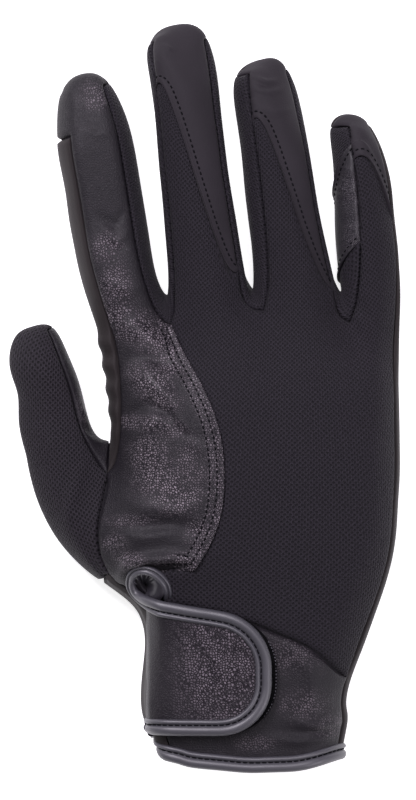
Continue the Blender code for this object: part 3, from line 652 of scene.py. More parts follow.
def unwrapped(points, faces, labels):
    """Places of every face corner on a flat map, in the panels' own size, with +Y up."""
    thing = new_mesh("flat_map", points, faces)
    mesh = thing.data
    sides = {}
    for face, label in zip(faces.tolist(), labels):
        for side in sides_of(face):
            sides.setdefault(tuple(sorted(side)), set()).add(label)
    for edge in mesh.edges:
        edge.use_seam = len(sides[tuple(sorted(edge.vertices))]) > 1
    bpy.context.view_layer.objects.active = thing
    thing.select_set(True)
    bpy.ops.object.mode_set(mode="EDIT")
    bpy.ops.mesh.select_all(action="SELECT")
    bpy.ops.uv.unwrap(method="ANGLE_BASED", margin=0.001)
    bpy.ops.object.mode_set(mode="OBJECT")
    flat = values_of(mesh.uv_layers[0].uv, "vector", 2, (-1, 4, 2))
    for label in set(labels.tolist()):
        own = labels == label
        corners, spots = points[faces[own]], flat[own]
        a, b = corners[:, 2] - corners[:, 0], corners[:, 3] - corners[:, 1]
        real = np.linalg.norm(np.cross(a, b), axis=1)
        a, b = spots[:, 2] - spots[:, 0], spots[:, 3] - spots[:, 1]
        drawn = np.abs(a[:, 0] * b[:, 1] - a[:, 1] * b[:, 0])
        terms = np.c_[spots.reshape(-1, 2), np.ones(own.sum() * 4)]
        slope = np.linalg.lstsq(terms, corners[..., 1].ravel(), rcond=None)[0][:2]
        up = slope / np.linalg.norm(slope)
        turned = np.stack([spots @ np.array([up[1], -up[0]]), spots @ up], axis=-1)
        flat[own] = turned * math.sqrt(real.sum() / drawn.sum()) / MM
    bpy.data.objects.remove(thing)
    return flat


# the back's knit is drawn out sideways near the cuff; lengths on the map are millimetres above its low end
flat_map = unwrapped(skin, skin_faces, skin_labels)
on_back = skin_labels == LABELS.index("back_of_hand")
spread = flat_map[on_back]
drawn_out = np.interp(spread[..., 1] - spread[..., 1].min(), DRAWN_LENGTHS, DRAWN_SHARES)
spread[..., 0] = (spread[..., 0] - spread[..., 0].mean()) * drawn_out
flat_map[on_back] = spread
places, faces, labels, cloth_map = smooth_mesh(skin, skin_faces, skin_labels, FINE_LEVELS, flat_map)
places[places[:, 2] < SOLE_FLAT, 2] = 0.0
print("fine skin:", len(faces), "faces")
for name in LABELS:
    print("  ", name, int((labels == LABELS.index(name)).sum()))


# %% Normals of the fine skin
def normals_of(points, quads):
    """One unit normal for each point of a mesh of quads."""
    a, b, c, d = (points[quads[:, corner]] for corner in range(4))
    across = np.cross(c - a, d - b)
    total = np.zeros_like(points)
    for corner in range(4):
        np.add.at(total, quads[:, corner], across)
    return unit_rows(total)


normals = normals_of(places, faces)
edge_label = {}
for face, label in zip(faces.tolist(), labels.tolist()):
    edge_label.update(dict.fromkeys(sides_of(face), label))
print("edges:", len(edge_label))

# %% [markdown]
# ## Folds and tucks
# Soft leather never lies quite flat. The large folds are drawn as lines on the back, each with a
# height and a width, and the surface rises or sinks along them. A slow noise makes the rest uneven.

# %% Lines of the folds, in millimetres
FOLDS = (
    # panel, height, width, points
    ("index_back", 2.7, 1.7, ((-39.5, -30), (-36.5, -25.4), (-30, -23.6), (-23, -23.2), (-17, -23.8))),
    ("index_back", -2.16, 1.3, ((-36, -28), (-31, -26.2), (-25, -26.4), (-19, -26.2))),
    ("index_back", -1.35, 2.6, ((-37, -14), (-30, -13.4), (-23, -13), (-16, -15))),
    ("index_back", 1.08, 2.2, ((-33, 14), (-27, 19), (-21, 17), (-15, 10))),
    ("index_back", -1.22, 1.6, ((-36, 20), (-31, 23), (-26, 20.5), (-20, 14.5), (-14, 12))),
    ("index_back", 1.08, 2.4, ((-37, 30), (-31, 31), (-25, 25), (-20, 20))),
    ("index_back", -0.94, 1.8, ((-36, 37), (-30, 37), (-24, 34))),
    ("index_back", 1.08, 2.6, ((-40, 47), (-33, 45), (-25, 40), (-20, 36))),
    ("index_back", 0.47, 1.5, ((-43, 60), (-37, 57), (-32, 58))),
    ("index_back", 0.54, 1.4, ((-45, 76), (-40, 72), (-36, 76))),
    ("index_back", -0.47, 1.2, ((-46, 80), (-41, 77), (-37, 82))),
    ("index_back", 0.41, 1.2, ((-50, 106), (-46, 104), (-42, 106))),
    ("index_back", 0.54, 2.4, ((-40, -4), (-32, -8), (-22, -10), (-14, -6))),
    ("index_back", 0.68, 1.6, ((-39, -16), (-31, -17), (-22, -15))),
    ("ring_cap", 0.55, 0.7, ((1.5, 122), (5, 120.5), (8, 121))),
    ("ring_cap", -0.4, 0.6, ((1.5, 120.5), (5, 119), (8.5, 119.5))),
    ("ring_cap", 0.5, 0.7, ((2, 118), (6, 117), (10, 118.5))),
    ("ring_cap", 0.4, 0.9, ((3, 112), (8, 111), (12, 112))),
    ("middle_cap", 0.5, 0.8, ((-26, 131.5), (-23.5, 130))),
    ("rein_patch", 0.6, 1.0, ((28, 94), (32, 93), (35, 92))),
    ("rein_patch", 0.6, 0.8, ((27, 88), (31, 87.5), (35, 88.5))),
    ("rein_patch", -0.4, 0.7, ((27, 85.5), (31, 85), (35, 86))),
    ("rein_patch", 0.6, 0.9, ((29, 73), (32, 74.5), (35, 72))),
    ("rein_patch", 0.6, 1.0, ((28, 66), (32, 66), (35, 67))),
    ("thumb_gusset", 0.8, 1.5, ((-51, 22), (-47, 18), (-43, 16))),
    ("thumb_gusset", -0.7, 1.2, ((-51.2, 17.5), (-47, 14), (-42.5, 12.5))),
    ("cuff_back", 0.68, 1.4, ((5, -77.5), (14, -78.5), (24, -77.5))),
    ("cuff_back", 0.68, 1.2, ((12, -72), (20, -74), (28, -73))),
    ("cuff_back", -0.54, 1.2, ((8, -75), (16, -76.2), (25, -75))),
    ("cuff_back", 0.54, 2.4, ((12, -50), (18, -58), (20, -68))),
    ("thumb_back", 0.5, 2.4, ((-64, 40), (-61, 25), (-58, 12), (-52, -2))),
    ("thumb_back", 0.7, 2.0, ((-50, 6), (-54, -6), (-55, -14))),
    ("back_of_hand", 0.6, 1.4, ((26, 56), (31, 50), (35, 46))),
    ("back_of_hand", -0.5, 1.3, ((28, 60), (32, 54), (36, 50))),
    ("back_of_hand", 0.4, 1.5, ((-27, 52), (-22, 48), (-18, 50))),
)
TUCKS = ((41.5, 0.9), (34.5, 1.0), (27.5, 1.0), (21.0, 0.8), (14.0, 0.5))
TUCK_WIDTH = 2.6 * MM
TUCK_SIDE_X, TUCK_FACING = -30 * MM, 1.6
FOLD_FACING, FOLD_END, FOLD_TAPER = 2, 0.05, 0.7
SLOT_PIECES = {
    "knit_fabric": ("thumb_back", "back_of_hand", *FOURCHETTES.values()),
    "grain_leather": ("thumb_gusset", "index_back", "cuff_back", PATCH, "closure_tab"),
    "suede_leather": ("palm", "thumb_front", *CAPS),
    "binding_leather": ("hem_binding", "tab_binding", "vent_binding"),
    "grip_tape": ("loop_patch", "hook_patch"),
}
SLOTS = {name: slot for slot, names in SLOT_PIECES.items() for name in names}
# height and length of the slow waves in millimetres
SLOW_NOISE = {"grain_leather": (0.35, 14), "suede_leather": (0.25, 11), "knit_fabric": (0.3, 16)}


def along_line(points, line):
    """Distance of points from a line of (x, y) places, and how far along it they lie, from 0 to 1."""
    line = np.array(line) * MM
    lengths = np.linalg.norm(np.diff(line, axis=0), axis=1)
    total, done = lengths.sum(), 0.0
    nearest, share = np.full(len(points), 1.0), np.zeros(len(points))
    for start, end, length in zip(line[:-1], line[1:], lengths):
        way = np.clip(((points[:, :2] - start) @ (end - start)) / length**2, 0, 1)
        gap = np.linalg.norm(points[:, :2] - start - way[:, None] * (end - start), axis=1)
        closer = gap < nearest
        nearest[closer], share[closer] = gap[closer], ((done + way * length) / total)[closer]
        done += length
    return nearest, share


def fold_relief(name, points, ups):
    """How far each point rises or sinks because of the folds of its panel."""
    relief = np.zeros(len(points))
    facing = np.clip(ups[:, 2] * FOLD_FACING, 0, 1)
    for panel, height, width, line in FOLDS:
        if panel == name:
            gap, share = along_line(points, line)
            taper = np.sin(np.pi * (share * (1 - 2 * FOLD_END) + FOLD_END)) ** FOLD_TAPER
            relief += height * MM * np.exp(-((gap / (width * MM)) ** 2)) * taper * facing
    return relief


def slow_relief(name, points):
    """Low, wide unevenness of soft material."""
    height, size = SLOW_NOISE[SLOTS[name]]
    return noise_at(points, size * MM) * height * MM


def tuck_relief(points, ups):
    """Small gathers where the palm's leather is drawn over the index finger's side."""
    side = np.clip(-ups[:, 0] * TUCK_FACING, 0, 1) * (points[:, 0] < TUCK_SIDE_X)
    relief = np.zeros(len(points))
    for y, height in TUCKS:
        relief += height * MM * np.exp(-(((points[:, 1] - y * MM) / TUCK_WIDTH) ** 2)) * side
    return relief


# %% Where the leather is stretched and shines: glossier, with a painted glint on its pebble tops
SHINE = {
    # spots as x, y, half width, half height in millimetres and strength
    "index_back": (
        (-40, 50, 5, 4, 0.8), (-34, 46, 6, 4, 1.0), (-28, 42, 5, 4, 1.0), (-23.5, 37, 4, 5, 1.0),
        (-33, 32.5, 4, 3, 0.7), (-29, 29, 5, 4, 1.0), (-25, 24, 4, 3, 0.8), (-36, 17.5, 4, 2, 0.5),
        (-29, 17, 6, 2.2, 0.9), (-23.5, 15, 4, 2, 0.7), (-30, 8, 5, 5, 0.9), (-26, 1, 7, 6, 1.0),
        (-22, -5, 7, 4, 1.0), (-18, 4, 4, 8, 0.6), (-36, -12, 6, 1.6, 0.5), (-16, -16, 3, 4, 0.7),
        (-20, -24, 6, 1.8, 1.0), (-36, -24, 4, 2.4, 0.8), (-41, -19, 3, 2.5, 0.6), (-47, 116, 4, 4, 0.55),
        (-43, 70, 4, 4, 0.7), (-40.5, 58, 4, 6, 0.8),
    ),
    "closure_tab": ((-7.5, -57, 10.5, 18, 1.0), (-12.5, -56, 8, 16, 0.9)),
    "cuff_back": ((16, -68, 6, 4, 0.5), (12, -52, 8, 5, 0.4), (2, -79, 5, 2, 0.5), (25, -74, 5, 3, 0.4)),
    "rein_patch": ((31.5, 88, 3.5, 6, 0.9), (32.5, 74, 4, 5, 0.8), (33, 66, 3, 3, 0.7)),
    "thumb_gusset": ((-50, 24, 2, 6, 0.4),),
}
SHINE_FADE, SHINE_EDGE = 0.7, 1.5
# wrinkled strips beside a stitched seam, glossier and with a painted glint: the neighbour, the width in
# millimetres and the strength
STRIPS = {"index_back": ("back_of_hand", 5.0, 0.6)}


def shine_on(name, piece):
    """Writes into its attribute how stretched each point of a leather panel is, which sets its gloss and its
    painted glint.
    """
    points = values_of(piece.data.vertices, "co", 3, (-1, 3))
    spots, total = points[:, :2] / MM, np.zeros(len(points))
    for x, y, wide, high, strength in SHINE.get(name, ()):
        away = ((spots[:, 0] - x) / wide) ** 2 + ((spots[:, 1] - y) / high) ** 2
        total = np.maximum(total, strength * np.exp(-SHINE_FADE * away**SHINE_EDGE))
    if name in STRIPS:
        other, width, strength = STRIPS[name]
        seam = tree_of([places[i] for chain in seam_chains(name, other) for i in chain])
        gaps = gaps_to(seam, points) / MM
        total = np.maximum(total, strength * np.clip(width - gaps, 0, 1))
    piece.data.attributes.new("shine", "FLOAT", "POINT").data.foreach_set("value", total)


# %% [markdown]
# ## Seams
# There are two kinds. In a turned seam both panels dive into a groove, and show a soft shoulder each side.
# In a lapped seam the upper panel has a folded edge that lies on the lower one. Every rim therefore gets
# three more rings of points, which roll over its edge and go down into the glove.

# %% Edge profiles, as (outwards, up) in millimetres from the seam's line
PROFILES = {
    "turned": ((-0.42, -0.28), (-0.2, -0.75), (-0.1, -1.2), (-0.1, -1.8)),
    "over": ((0.3, 0.38), (0.55, 0.1), (0.5, -0.3), (0.2, -0.9)),
    "under": ((0.0, -0.35), (0.5, -0.6), (0.8, -0.9), (0.8, -1.4)),
    "plain": ((0.0, 0.0), (0.0, -0.5), (0.0, -1.0), (0.0, -1.3)),
}
LAPS = {("index_back", "back_of_hand"), (PATCH, "ring_little_fourchette")}
LAPS |= {(cap, "back_of_hand") for cap in CAPS}
# height and width of the shoulder beside a seam in millimetres
SHOULDERS = {"turned": (-0.5, 1.5), "over": (0.3, 2.2), "under": (-0.35, 1.6)}


def seam_kind(name, other):
    if other is None or other == VENT:
        return "plain"
    if (name, other) in LAPS:
        return "over"
    return "under" if (other, name) in LAPS else "turned"


def seam_relief(points, rim):
    """Height of the shoulder beside each seam; rim lists the seam's points with their kind."""
    relief = np.zeros(len(points))
    for kind, (height, width) in SHOULDERS.items():
        spots = [p for p, its in rim if its == kind]
        if spots:
            gaps = gaps_to(tree_of(spots), points)
            relief += height * MM * np.clip(1 - gaps / (width * MM), 0, 1) ** 2
    return relief


# %% Corners where three panels meet
CORNER_REACH, CORNER_REST = 3.5 * MM, 0.2
pairs = np.unique(np.c_[faces.ravel(), np.repeat(labels, 4)], axis=0)
corner_points = np.flatnonzero(np.bincount(pairs[:, 0]) > 2)
corner_tree = tree_of(places[corner_points])


def away_from_corners(points):
    """From a small rest at a corner of three panels to 1 away from it: seams are flat at corners."""
    return np.clip(gaps_to(corner_tree, points) / CORNER_REACH, CORNER_REST, 1)


print("corners of three panels:", len(corner_points))

# %% Sew one panel
PIECES, SURFACES = {}, {}
RINGS, RIM_FLOOR = 4, 0.2 * MM


def outward_at(points, ups, quads, rim_points):
    """The direction in the panel that points out over its rim."""
    total = np.zeros_like(points)
    centres = points[quads].mean(axis=1)
    for corner in range(4):
        np.add.at(total, quads[:, corner], points[quads[:, corner]] - centres)
    out = total[rim_points]
    out -= ups[rim_points] * (out * ups[rim_points]).sum(axis=1)[:, None]
    return unit_rows(out)


def sew_panel(name):
    """A panel with its folds, its shoulders along the seams and its rolled rim."""
    own = labels == LABELS.index(name)
    used, quads = np.unique(faces[own], return_inverse=True)
    quads = quads.reshape(-1, 4)
    points, ups = places[used], normals[used]
    rim = rim_edges(quads)
    kinds = {}
    for a, b in rim:
        other = edge_label.get((used[b], used[a]))
        kind = seam_kind(name, None if other is None else LABELS[other])
        for i in (a, b):
            kinds.setdefault(i, []).append(kind)
    spots = [(points[i], kind) for i, its in kinds.items() for kind in set(its)]
    calm = away_from_corners(points)
    lift = seam_relief(points, spots) * calm + fold_relief(name, points, ups) + slow_relief(name, points)
    if name == "palm":
        lift += tuck_relief(points, ups)
    lift[points[:, 2] < SOLE_FLAT] = 0.0
    moved = points + ups * lift[:, None]
    moved[:, 2] = np.maximum(moved[:, 2], 0.0)
    rim_points = np.array(sorted(kinds))
    out = outward_at(points, ups, quads, rim_points)
    order = {int(i): n for n, i in enumerate(rim_points)}
    profile = np.array([np.mean([PROFILES[k] for k in kinds[int(i)]], axis=0) for i in rim_points]) * MM
    profile *= calm[rim_points][:, None, None]
    base = moved[rim_points]
    rings = [base + out * profile[:, k, :1] + ups[rim_points] * profile[:, k, 1:] for k in range(RINGS)]
    moved[rim_points] = rings[0]
    count, size = len(moved), len(rim_points)
    for ring in rings[1:]:
        ring[:, 2] = np.maximum(ring[:, 2], RIM_FLOOR)
    made = quads.tolist()
    for a, b in rim:
        na, nb = order[a], order[b]
        steps = [(a, b)] + [(count + k * size + na, count + k * size + nb) for k in range(RINGS - 1)]
        made += [(hi_b, hi_a, lo_a, lo_b) for (hi_a, hi_b), (lo_a, lo_b) in zip(steps[:-1], steps[1:])]
    piece = new_mesh(name + "_skin", np.vstack([moved, *rings[1:]]), made)
    layer = piece.data.uv_layers.new(name="cloth")
    flat = np.zeros((len(made), 4, 2))
    flat[: len(quads)] = cloth_map[own]
    spot_of = {}
    for quad, spot in zip(quads.tolist(), cloth_map[own]):
        for i, place in zip(quad, spot):
            spot_of[i] = place
    for n, (a, b) in enumerate(rim):
        strip = len(quads) + n * (RINGS - 1)
        flat[strip : strip + RINGS - 1] = (spot_of[b], spot_of[a], spot_of[a], spot_of[b])
    layer.uv.foreach_set("vector", flat.ravel())
    PIECES[name] = piece
    SURFACES[name] = surface_of(moved, quads)


for name in LABELS[:-1]:
    sew_panel(name)
print("panels sewn:", len(PIECES))


# %% The inner face of the glove
LINING_DEPTHS = (1.3 * MM, 1.9 * MM)


def make_inner_face():
    """Two thin sheets just inside the skin, joined at the hem and at the vent: they close every seam."""
    middle, quads, tags, _ = smooth_mesh(skin, skin_faces, skin_labels, 1)
    middle[middle[:, 2] < SOLE_FLAT, 2] = 0.0
    ups = normals_of(middle, quads)
    quads = quads[tags != LABELS.index(VENT)]
    used, quads = np.unique(quads, return_inverse=True)
    quads = quads.reshape(-1, 4)
    sheets = [middle[used] - ups[used] * depth for depth in LINING_DEPTHS]
    return slab("inner_face", *sheets, quads)


PIECES["inner_face"] = make_inner_face()
print("inner face:", len(PIECES["inner_face"].data.polygons), "faces")

# %% [markdown]
# ## Stitches
# Top stitching is a row of short thread bars, each sunk a little into the leather. One bar is a tiny
# capsule, repeated along a line that runs at a fixed distance inside a seam.

# %% Rows of thread
STITCH_PITCH = 1.7 * MM
STITCH_LENGTH = 1.05 * MM
STITCH_RADIUS = 0.29 * MM
STITCH_SIDES = 6
STITCH_SHAPE = ((-0.5, 0.45), (-0.32, 1.0), (0.32, 1.0), (0.5, 0.45))  # shares of the length and radius
THREADS = {"black": ([], []), "grey": ([], [])}


def add_stitch(place, along, up, length=STITCH_LENGTH, radius=STITCH_RADIUS, colour="black"):
    """One capsule of thread at place."""
    side = np.cross(up, along)
    spots, bars = THREADS[colour]
    first = len(spots)
    for share, swell in STITCH_SHAPE:
        for k in range(STITCH_SIDES):
            turn = math.tau * k / STITCH_SIDES
            ring = side * math.cos(turn) + up * math.sin(turn)
            spots.append(place + along * length * share + ring * radius * swell)
    bars += [tuple(first + i for i in face) for face in tube_faces(len(STITCH_SHAPE), STITCH_SIDES)]
    bars.append(tuple(first + k for k in reversed(range(STITCH_SIDES))))
    bars.append(tuple(len(spots) - STITCH_SIDES + k for k in range(STITCH_SIDES)))


def stitch_line(line, ups, pitch=STITCH_PITCH, sink=0.05 * MM, **sizes):
    """Lays stitches along a line of places at an even pitch."""
    line, ups = np.array(line), np.array(ups)
    way = np.r_[0, np.cumsum(np.linalg.norm(np.diff(line, axis=0), axis=1))]
    count = max(int(way[-1] / pitch), 1)
    marks = (np.arange(count) + 0.5) * way[-1] / count
    for mark in marks:
        place, ahead, behind = (
            np.array([np.interp(m, way, line[:, k]) for k in range(3)])
            for m in (mark, mark + pitch / 3, mark - pitch / 3)
        )
        up = np.array([np.interp(mark, way, ups[:, k]) for k in range(3)])
        along = (ahead - behind) / max(np.linalg.norm(ahead - behind), TINY)
        up -= along * (up @ along)
        up /= np.linalg.norm(up)
        add_stitch(place - up * sink, along, up, **sizes)
    return count


def seam_chains(name, other):
    """The seams between two panels, each as a chain of points of the fine skin."""
    mine, theirs = LABELS.index(name), LABELS.index(other)
    after = {}
    for (a, b), label in edge_label.items():
        if label == mine and edge_label.get((b, a)) == theirs:
            after[a] = b
    chains, starts = [], set(after) - set(after.values())
    for start in sorted(starts):
        chain = [start]
        while chain[-1] in after:
            chain.append(after[chain[-1]])
        chains.append(chain)
    return chains


def smoothed(line, rounds=3):
    for _ in range(rounds):
        line[1:-1] = (line[:-2] + 2 * line[1:-1] + line[2:]) / 4
    return line


def beside_seam(name, other, distance):
    """Lines on a panel at a fixed distance inside its seam, with the normals there."""
    found = []
    for chain in seam_chains(name, other):
        line, ups = smoothed(places[chain].copy()), normals[chain]
        ahead = np.gradient(line, axis=0)
        inward = unit_rows(np.cross(ups, ahead))
        on_panel = [SURFACES[name].find_nearest(Vector(p)) for p in line + inward * distance]
        found.append((np.array([h[0] for h in on_panel]), np.array([h[1] for h in on_panel])))
    return found


ROWS_OF_STITCHES = (
    # panel, its neighbour, distance from the seam
    ("index_back", "back_of_hand", 1.7),
    ("index_back", "back_of_hand", 4.0),
    ("middle_cap", "back_of_hand", 1.9),
    ("ring_cap", "back_of_hand", 1.9),
    ("little_cap", "back_of_hand", 1.7),
    (PATCH, "ring_little_fourchette", 1.2),
)
for panel, other, distance in ROWS_OF_STITCHES:
    laid = sum(stitch_line(*row) for row in beside_seam(panel, other, distance * MM))
    print("stitches on", panel, laid)


# %% [markdown]
# ## Bindings
# A binding is a strip of thin leather folded over a raw edge and sewn down. It shows two beads with the
# stitches in the groove between them, so one section with two beads is swept along the edge.

# %% Section of a binding and how it is swept
BEADS = (
    # share of the leg inwards (or outwards below 0), height as a share of the bead's
    (-0.3, -0.9), (-0.4, -0.45), (-0.41, 0.0), (-0.36, 0.45), (-0.22, 0.82), (-0.04, 0.99), (0.14, 0.98),
    (0.3, 0.8), (0.41, 0.45), (0.47, 0.08), (0.5, 0.05), (0.54, 0.1), (0.61, 0.42), (0.7, 0.64),
    (0.82, 0.62), (0.92, 0.44), (1.0, 0.05),
)
GROOVE, UNDERSIDE, THREAD_SHOW = 0.5, (1.0, 0.5, 0.0), 0.4
BINDING_STITCH = {"pitch": 1.9 * MM, "length": 1.5 * MM}


def sweep(name, rows, closed):
    """A closed skin over rows of points, each row being one section."""
    count, size = len(rows), len(rows[0])
    made = tube_faces(count, size, closed)
    if not closed:
        made += [tuple(range(size))[::-1], tuple((count - 1) * size + j for j in range(size))]
    piece = new_mesh(name, [(x, y, max(z, 0.0)) for row in rows for x, y, z in row], made)
    ends = () if closed else (range(size), range((count - 1) * size, count * size))
    for edge in piece.data.edges:
        edge.use_edge_sharp = any(set(edge.vertices) <= set(end) for end in ends)
    return piece


def binding_rows(line, ups, outs, legs, rises, under, trees):
    """Sections of a binding: its beads above the edge and a flat strip at depth under below it."""
    count = len(line)
    legs, rises = np.broadcast_to(legs, count), np.broadcast_to(rises, count)
    trees = [trees] * count if not isinstance(trees, list) else trees
    rows, groove, groove_ups = [], [], []
    for place, up, out, leg, rise, tree in zip(line, ups, outs, legs, rises, trees):
        row = []
        for inward, height in (*BEADS, *((share, None) for share in UNDERSIDE)):
            spot, top = place - out * inward * leg, up
            if tree is not None and inward > 0:
                hit, top, _, _ = tree.find_nearest(Vector(spot))
                spot, top = np.array(hit), np.array(top) if np.dot(top, up) > 0 else up
            row.append(spot - top * under if height is None else spot + top * height * rise)
            if inward == GROOVE and height is not None:
                groove.append(row[-1] + top * STITCH_RADIUS * THREAD_SHOW)
                groove_ups.append(top)
        rows.append(row)
    return rows, groove, groove_ups


# %% Binding of the hem
HEM_LEG, HEM_RISE, HEM_DEPTH = 3.5 * MM, 1.3 * MM, 1.6 * MM
HEM_BELOW = -70 * MM


def chained(edges, first):
    """Orders directed edges into one path from the point that first puts lowest."""
    after = dict(edges)
    path = [min(after, key=first)]
    while after.get(path[-1], path[0]) != path[0]:
        path.append(after[path[-1]])
    return path


def rim_outwards(path):
    """The line of a closed rim, with its normals and its outward directions."""
    line, ups = places[path], normals[path]
    ahead = np.roll(line, -1, axis=0) - np.roll(line, 1, axis=0)
    return line, ups, unit_rows(np.cross(ahead, ups))


shown = labels != LABELS.index(VENT)
hem_edges = [e for e in rim_edges(faces[shown]) if places[e[0]][1] < HEM_BELOW]
slit_x = CUFF_WIDTH / 2 * STATION_X[0][2]


def from_slit(i):
    """How far a point of the rim is from the lower end of the slit, least at the top."""
    x, y, z = places[i]
    return abs(x - slit_x) + abs(y + CUFF_REACH) - z


hem = rim_outwards(chained(hem_edges, from_slit))
skin_surface = surface_of(places, faces[shown])
rows, groove, groove_ups = binding_rows(*hem, HEM_LEG, HEM_RISE, HEM_DEPTH, skin_surface)
PIECES["hem_binding"] = sweep("hem_beads", rows, closed=True)
print("stitches in the hem", stitch_line(groove, groove_ups, **BINDING_STITCH))

# %% [markdown]
# ## The closure tab
# The tab comes round from the palm, lies over the cuff and holds by hook and loop. Its shape is a band with
# two rounded corners, laid on the skin by casting a ray down at every point.

# %% Shape of the tab
TAB_ROOT_X, TAB_LENGTH, TAB_WIDTH = -31.4 * MM, 36.4 * MM, 38.4 * MM
TAB_HIGH_Y, TAB_SLOPE = -36.8 * MM, 6.0 * MM
TAB_HIGH_RADIUS, TAB_LOW_RADIUS, TAB_WALL = 13 * MM, 14 * MM, 1.4 * MM
GRIP_LENGTH, GRIP_STEP, GRIP_WIDEN, PATCH_WALL = 29 * MM, 2.9 * MM, 0.6 * MM, 1.3 * MM
ROOT_TURN, ROOT_SINK = 1.3 * MM, 3.6 * MM
TAB_RISE, VENT_RISE, VENT_LEG = 1.6 * MM, 1.1 * MM, 1.3 * MM


def tab_edges(x, grow, widen):
    """Lowest and highest y of the tab at x, its end drawn out by grow and its sides by widen."""
    tip = TAB_ROOT_X + TAB_LENGTH + grow
    share = (x - TAB_ROOT_X) / TAB_LENGTH
    high, low = TAB_HIGH_Y - TAB_SLOPE * share + widen, TAB_HIGH_Y - TAB_WIDTH - widen
    high_radius, low_radius = TAB_HIGH_RADIUS + widen, TAB_LOW_RADIUS + widen
    high_in, low_in = (max(0.0, x - tip + radius) / radius for radius in (high_radius, low_radius))
    high -= high_radius * (1 - math.sqrt(max(0.0, 1 - high_in**2)))
    low += low_radius * (1 - math.sqrt(max(0.0, 1 - low_in**2)))
    return low, high


def on_skin(x, y):
    """The place on the skin straight below, or the nearest one beside it."""
    beside = Vector((x, y, CUFF_HEIGHT / 2))
    return hit_below(skin_surface, x, y)[0] or skin_surface.find_nearest(beside)[0]


def tab_grid(length, grow, widen, columns, rows):
    """Points on the skin under the tab, column by column, and the quads between them."""
    tip = TAB_ROOT_X + TAB_LENGTH + grow
    grid = np.zeros((columns + 1, rows + 1, 3))
    for column in range(columns + 1):
        x = tip - length * (1 + math.cos(math.pi * column / columns)) / 2
        low, high = tab_edges(x, grow, widen)
        grid[column] = [on_skin(x, blend(low, high, row / rows)) for row in range(rows + 1)]
    corner = np.arange((columns + 1) * (rows + 1)).reshape(columns + 1, rows + 1)
    quads = (corner[:-1, :-1], corner[1:, :-1], corner[1:, 1:], corner[:-1, 1:])
    return grid.reshape(-1, 3), np.stack(quads, axis=-1).reshape(-1, 4)


TAB_COLUMNS, TAB_ROWS = 56, 44
UNEVEN_SIZE, UNEVEN_HEIGHT = 7, 0.25  # millimetres
UPRIGHT = np.array((0.0, 0.0, 1.0))
grid, tab_quads = tab_grid(TAB_LENGTH, 0.0, 0.0, TAB_COLUMNS, TAB_ROWS)
tab_ups = normals_of(grid, tab_quads)
from_vent = np.linalg.norm(grid - vent_centre, axis=1) - VENT_LENGTH / 2 - VENT_LEG
tab_rise = TAB_RISE + np.clip(1 - from_vent / (TAB_WIDTH / 3), 0, 1) * VENT_RISE
rolled = np.sqrt(1 - np.clip(1 - (grid[:, 0] - TAB_ROOT_X) / ROOT_TURN, 0, 1) ** 2)
tab_rise = tab_rise - (1 - rolled) * ROOT_SINK
tab_under = grid + UPRIGHT * tab_rise[:, None]
tab_top = tab_under + UPRIGHT * TAB_WALL
uneven = noise_at(tab_top, UNEVEN_SIZE * MM)[:, None] * UNEVEN_HEIGHT * MM
tab_top += tab_ups * uneven
PIECES["closure_tab"] = slab("tab_leather", tab_top, tab_under, tab_quads)
print("tab:", len(tab_quads), "quads")

# %% Binding of the tab, which curls on round the vent
TAB_LEG, TAB_BEAD, TAB_DEPTH = 3.5 * MM, 1.35 * MM, TAB_WALL + 0.5 * MM
CURL_LEG, CURL_BEAD, CURL_LIFT = 2.0 * MM, 0.85 * MM, 0.9 * MM
TAB_TOP_LIFT = TAB_RISE + VENT_RISE + TAB_WALL
CURL_SHARES = (0, 0.09, 0.19, 0.34, 0.78, 0.9, 1.0)
CURL_LIFTS = (TAB_TOP_LIFT, TAB_TOP_LIFT, 2.8 * MM, CURL_LIFT, CURL_LIFT, 0.2 * MM, -1.2 * MM)
CURL_NARROWING = (0, 0.1, 0.45, 1, 1, 1, 1)
CURL = (
    (-31.5, -36.1), (-34.3, -34.5), (-35.6, -32.1), (-35.5, -29.4), (-33.9, -27.8), (-31.1, -27.5),
    (-28.3, -28.9), (-26.2, -31.2), (-25.5, -33.5), (-25.5, -36.0),
)
CURL_TURN_X, CURL_STEPS, TAB_START = -27.0 * MM, 8, (-0.35, 0.0, -0.15)
EDGE_ROUNDS, CURL_ROUNDS, CURL_UP_ROUNDS, LINE_ROUNDS, LINE_UP_ROUNDS = 2, 8, 20, 3, 4


def rounded_path(points, steps):
    """A smooth curve through points, by Catmull and Rom."""
    points = [points[0], *points, points[-1]]
    made = []
    for a, b, c, d in zip(points[:-3], points[1:-2], points[2:-1], points[3:]):
        for t in np.arange(steps) / steps:
            square, cube = 2 * a - 5 * b + 4 * c - d, 3 * b - a - 3 * c + d
            made.append((2 * b + (c - a) * t + square * t**2 + cube * t**3) / 2)
    return np.array(made + [points[-1]])


low_edge = [c * (TAB_ROWS + 1) for c in range(TAB_COLUMNS + 1)]
tip_edge = [TAB_COLUMNS * (TAB_ROWS + 1) + r for r in range(1, TAB_ROWS)]
high_edge = [i + TAB_ROWS for i in low_edge[::-1] if tab_top[i + TAB_ROWS][0] > CURL_TURN_X]
tab_path = low_edge + tip_edge + high_edge
tab_surface, all_skin = surface_of(tab_top, tab_quads), surface_of(places, faces)
edge, edge_ups = smoothed(tab_top[tab_path].copy(), EDGE_ROUNDS), tab_ups[tab_path]
edge = np.vstack([edge[0] + np.array(TAB_START) * MM, edge])
edge_ups = np.vstack([edge_ups[:1], edge_ups])
curl_flat = rounded_path([edge[-1, :2], *(np.array(p) * MM for p in CURL)], CURL_STEPS)[1:]
along = np.linspace(0, 1, len(curl_flat))
curl, curl_ups = [], []
for (x, y), share in zip(curl_flat, along):
    hit, up = hit_below(all_skin, x, y)
    curl.append((x, y, hit.z + np.interp(share, CURL_SHARES, CURL_LIFTS)))
    curl_ups.append(up)
curl = smoothed(np.array(curl), CURL_ROUNDS)
curl_ups = smoothed(np.array(curl_ups), CURL_UP_ROUNDS)
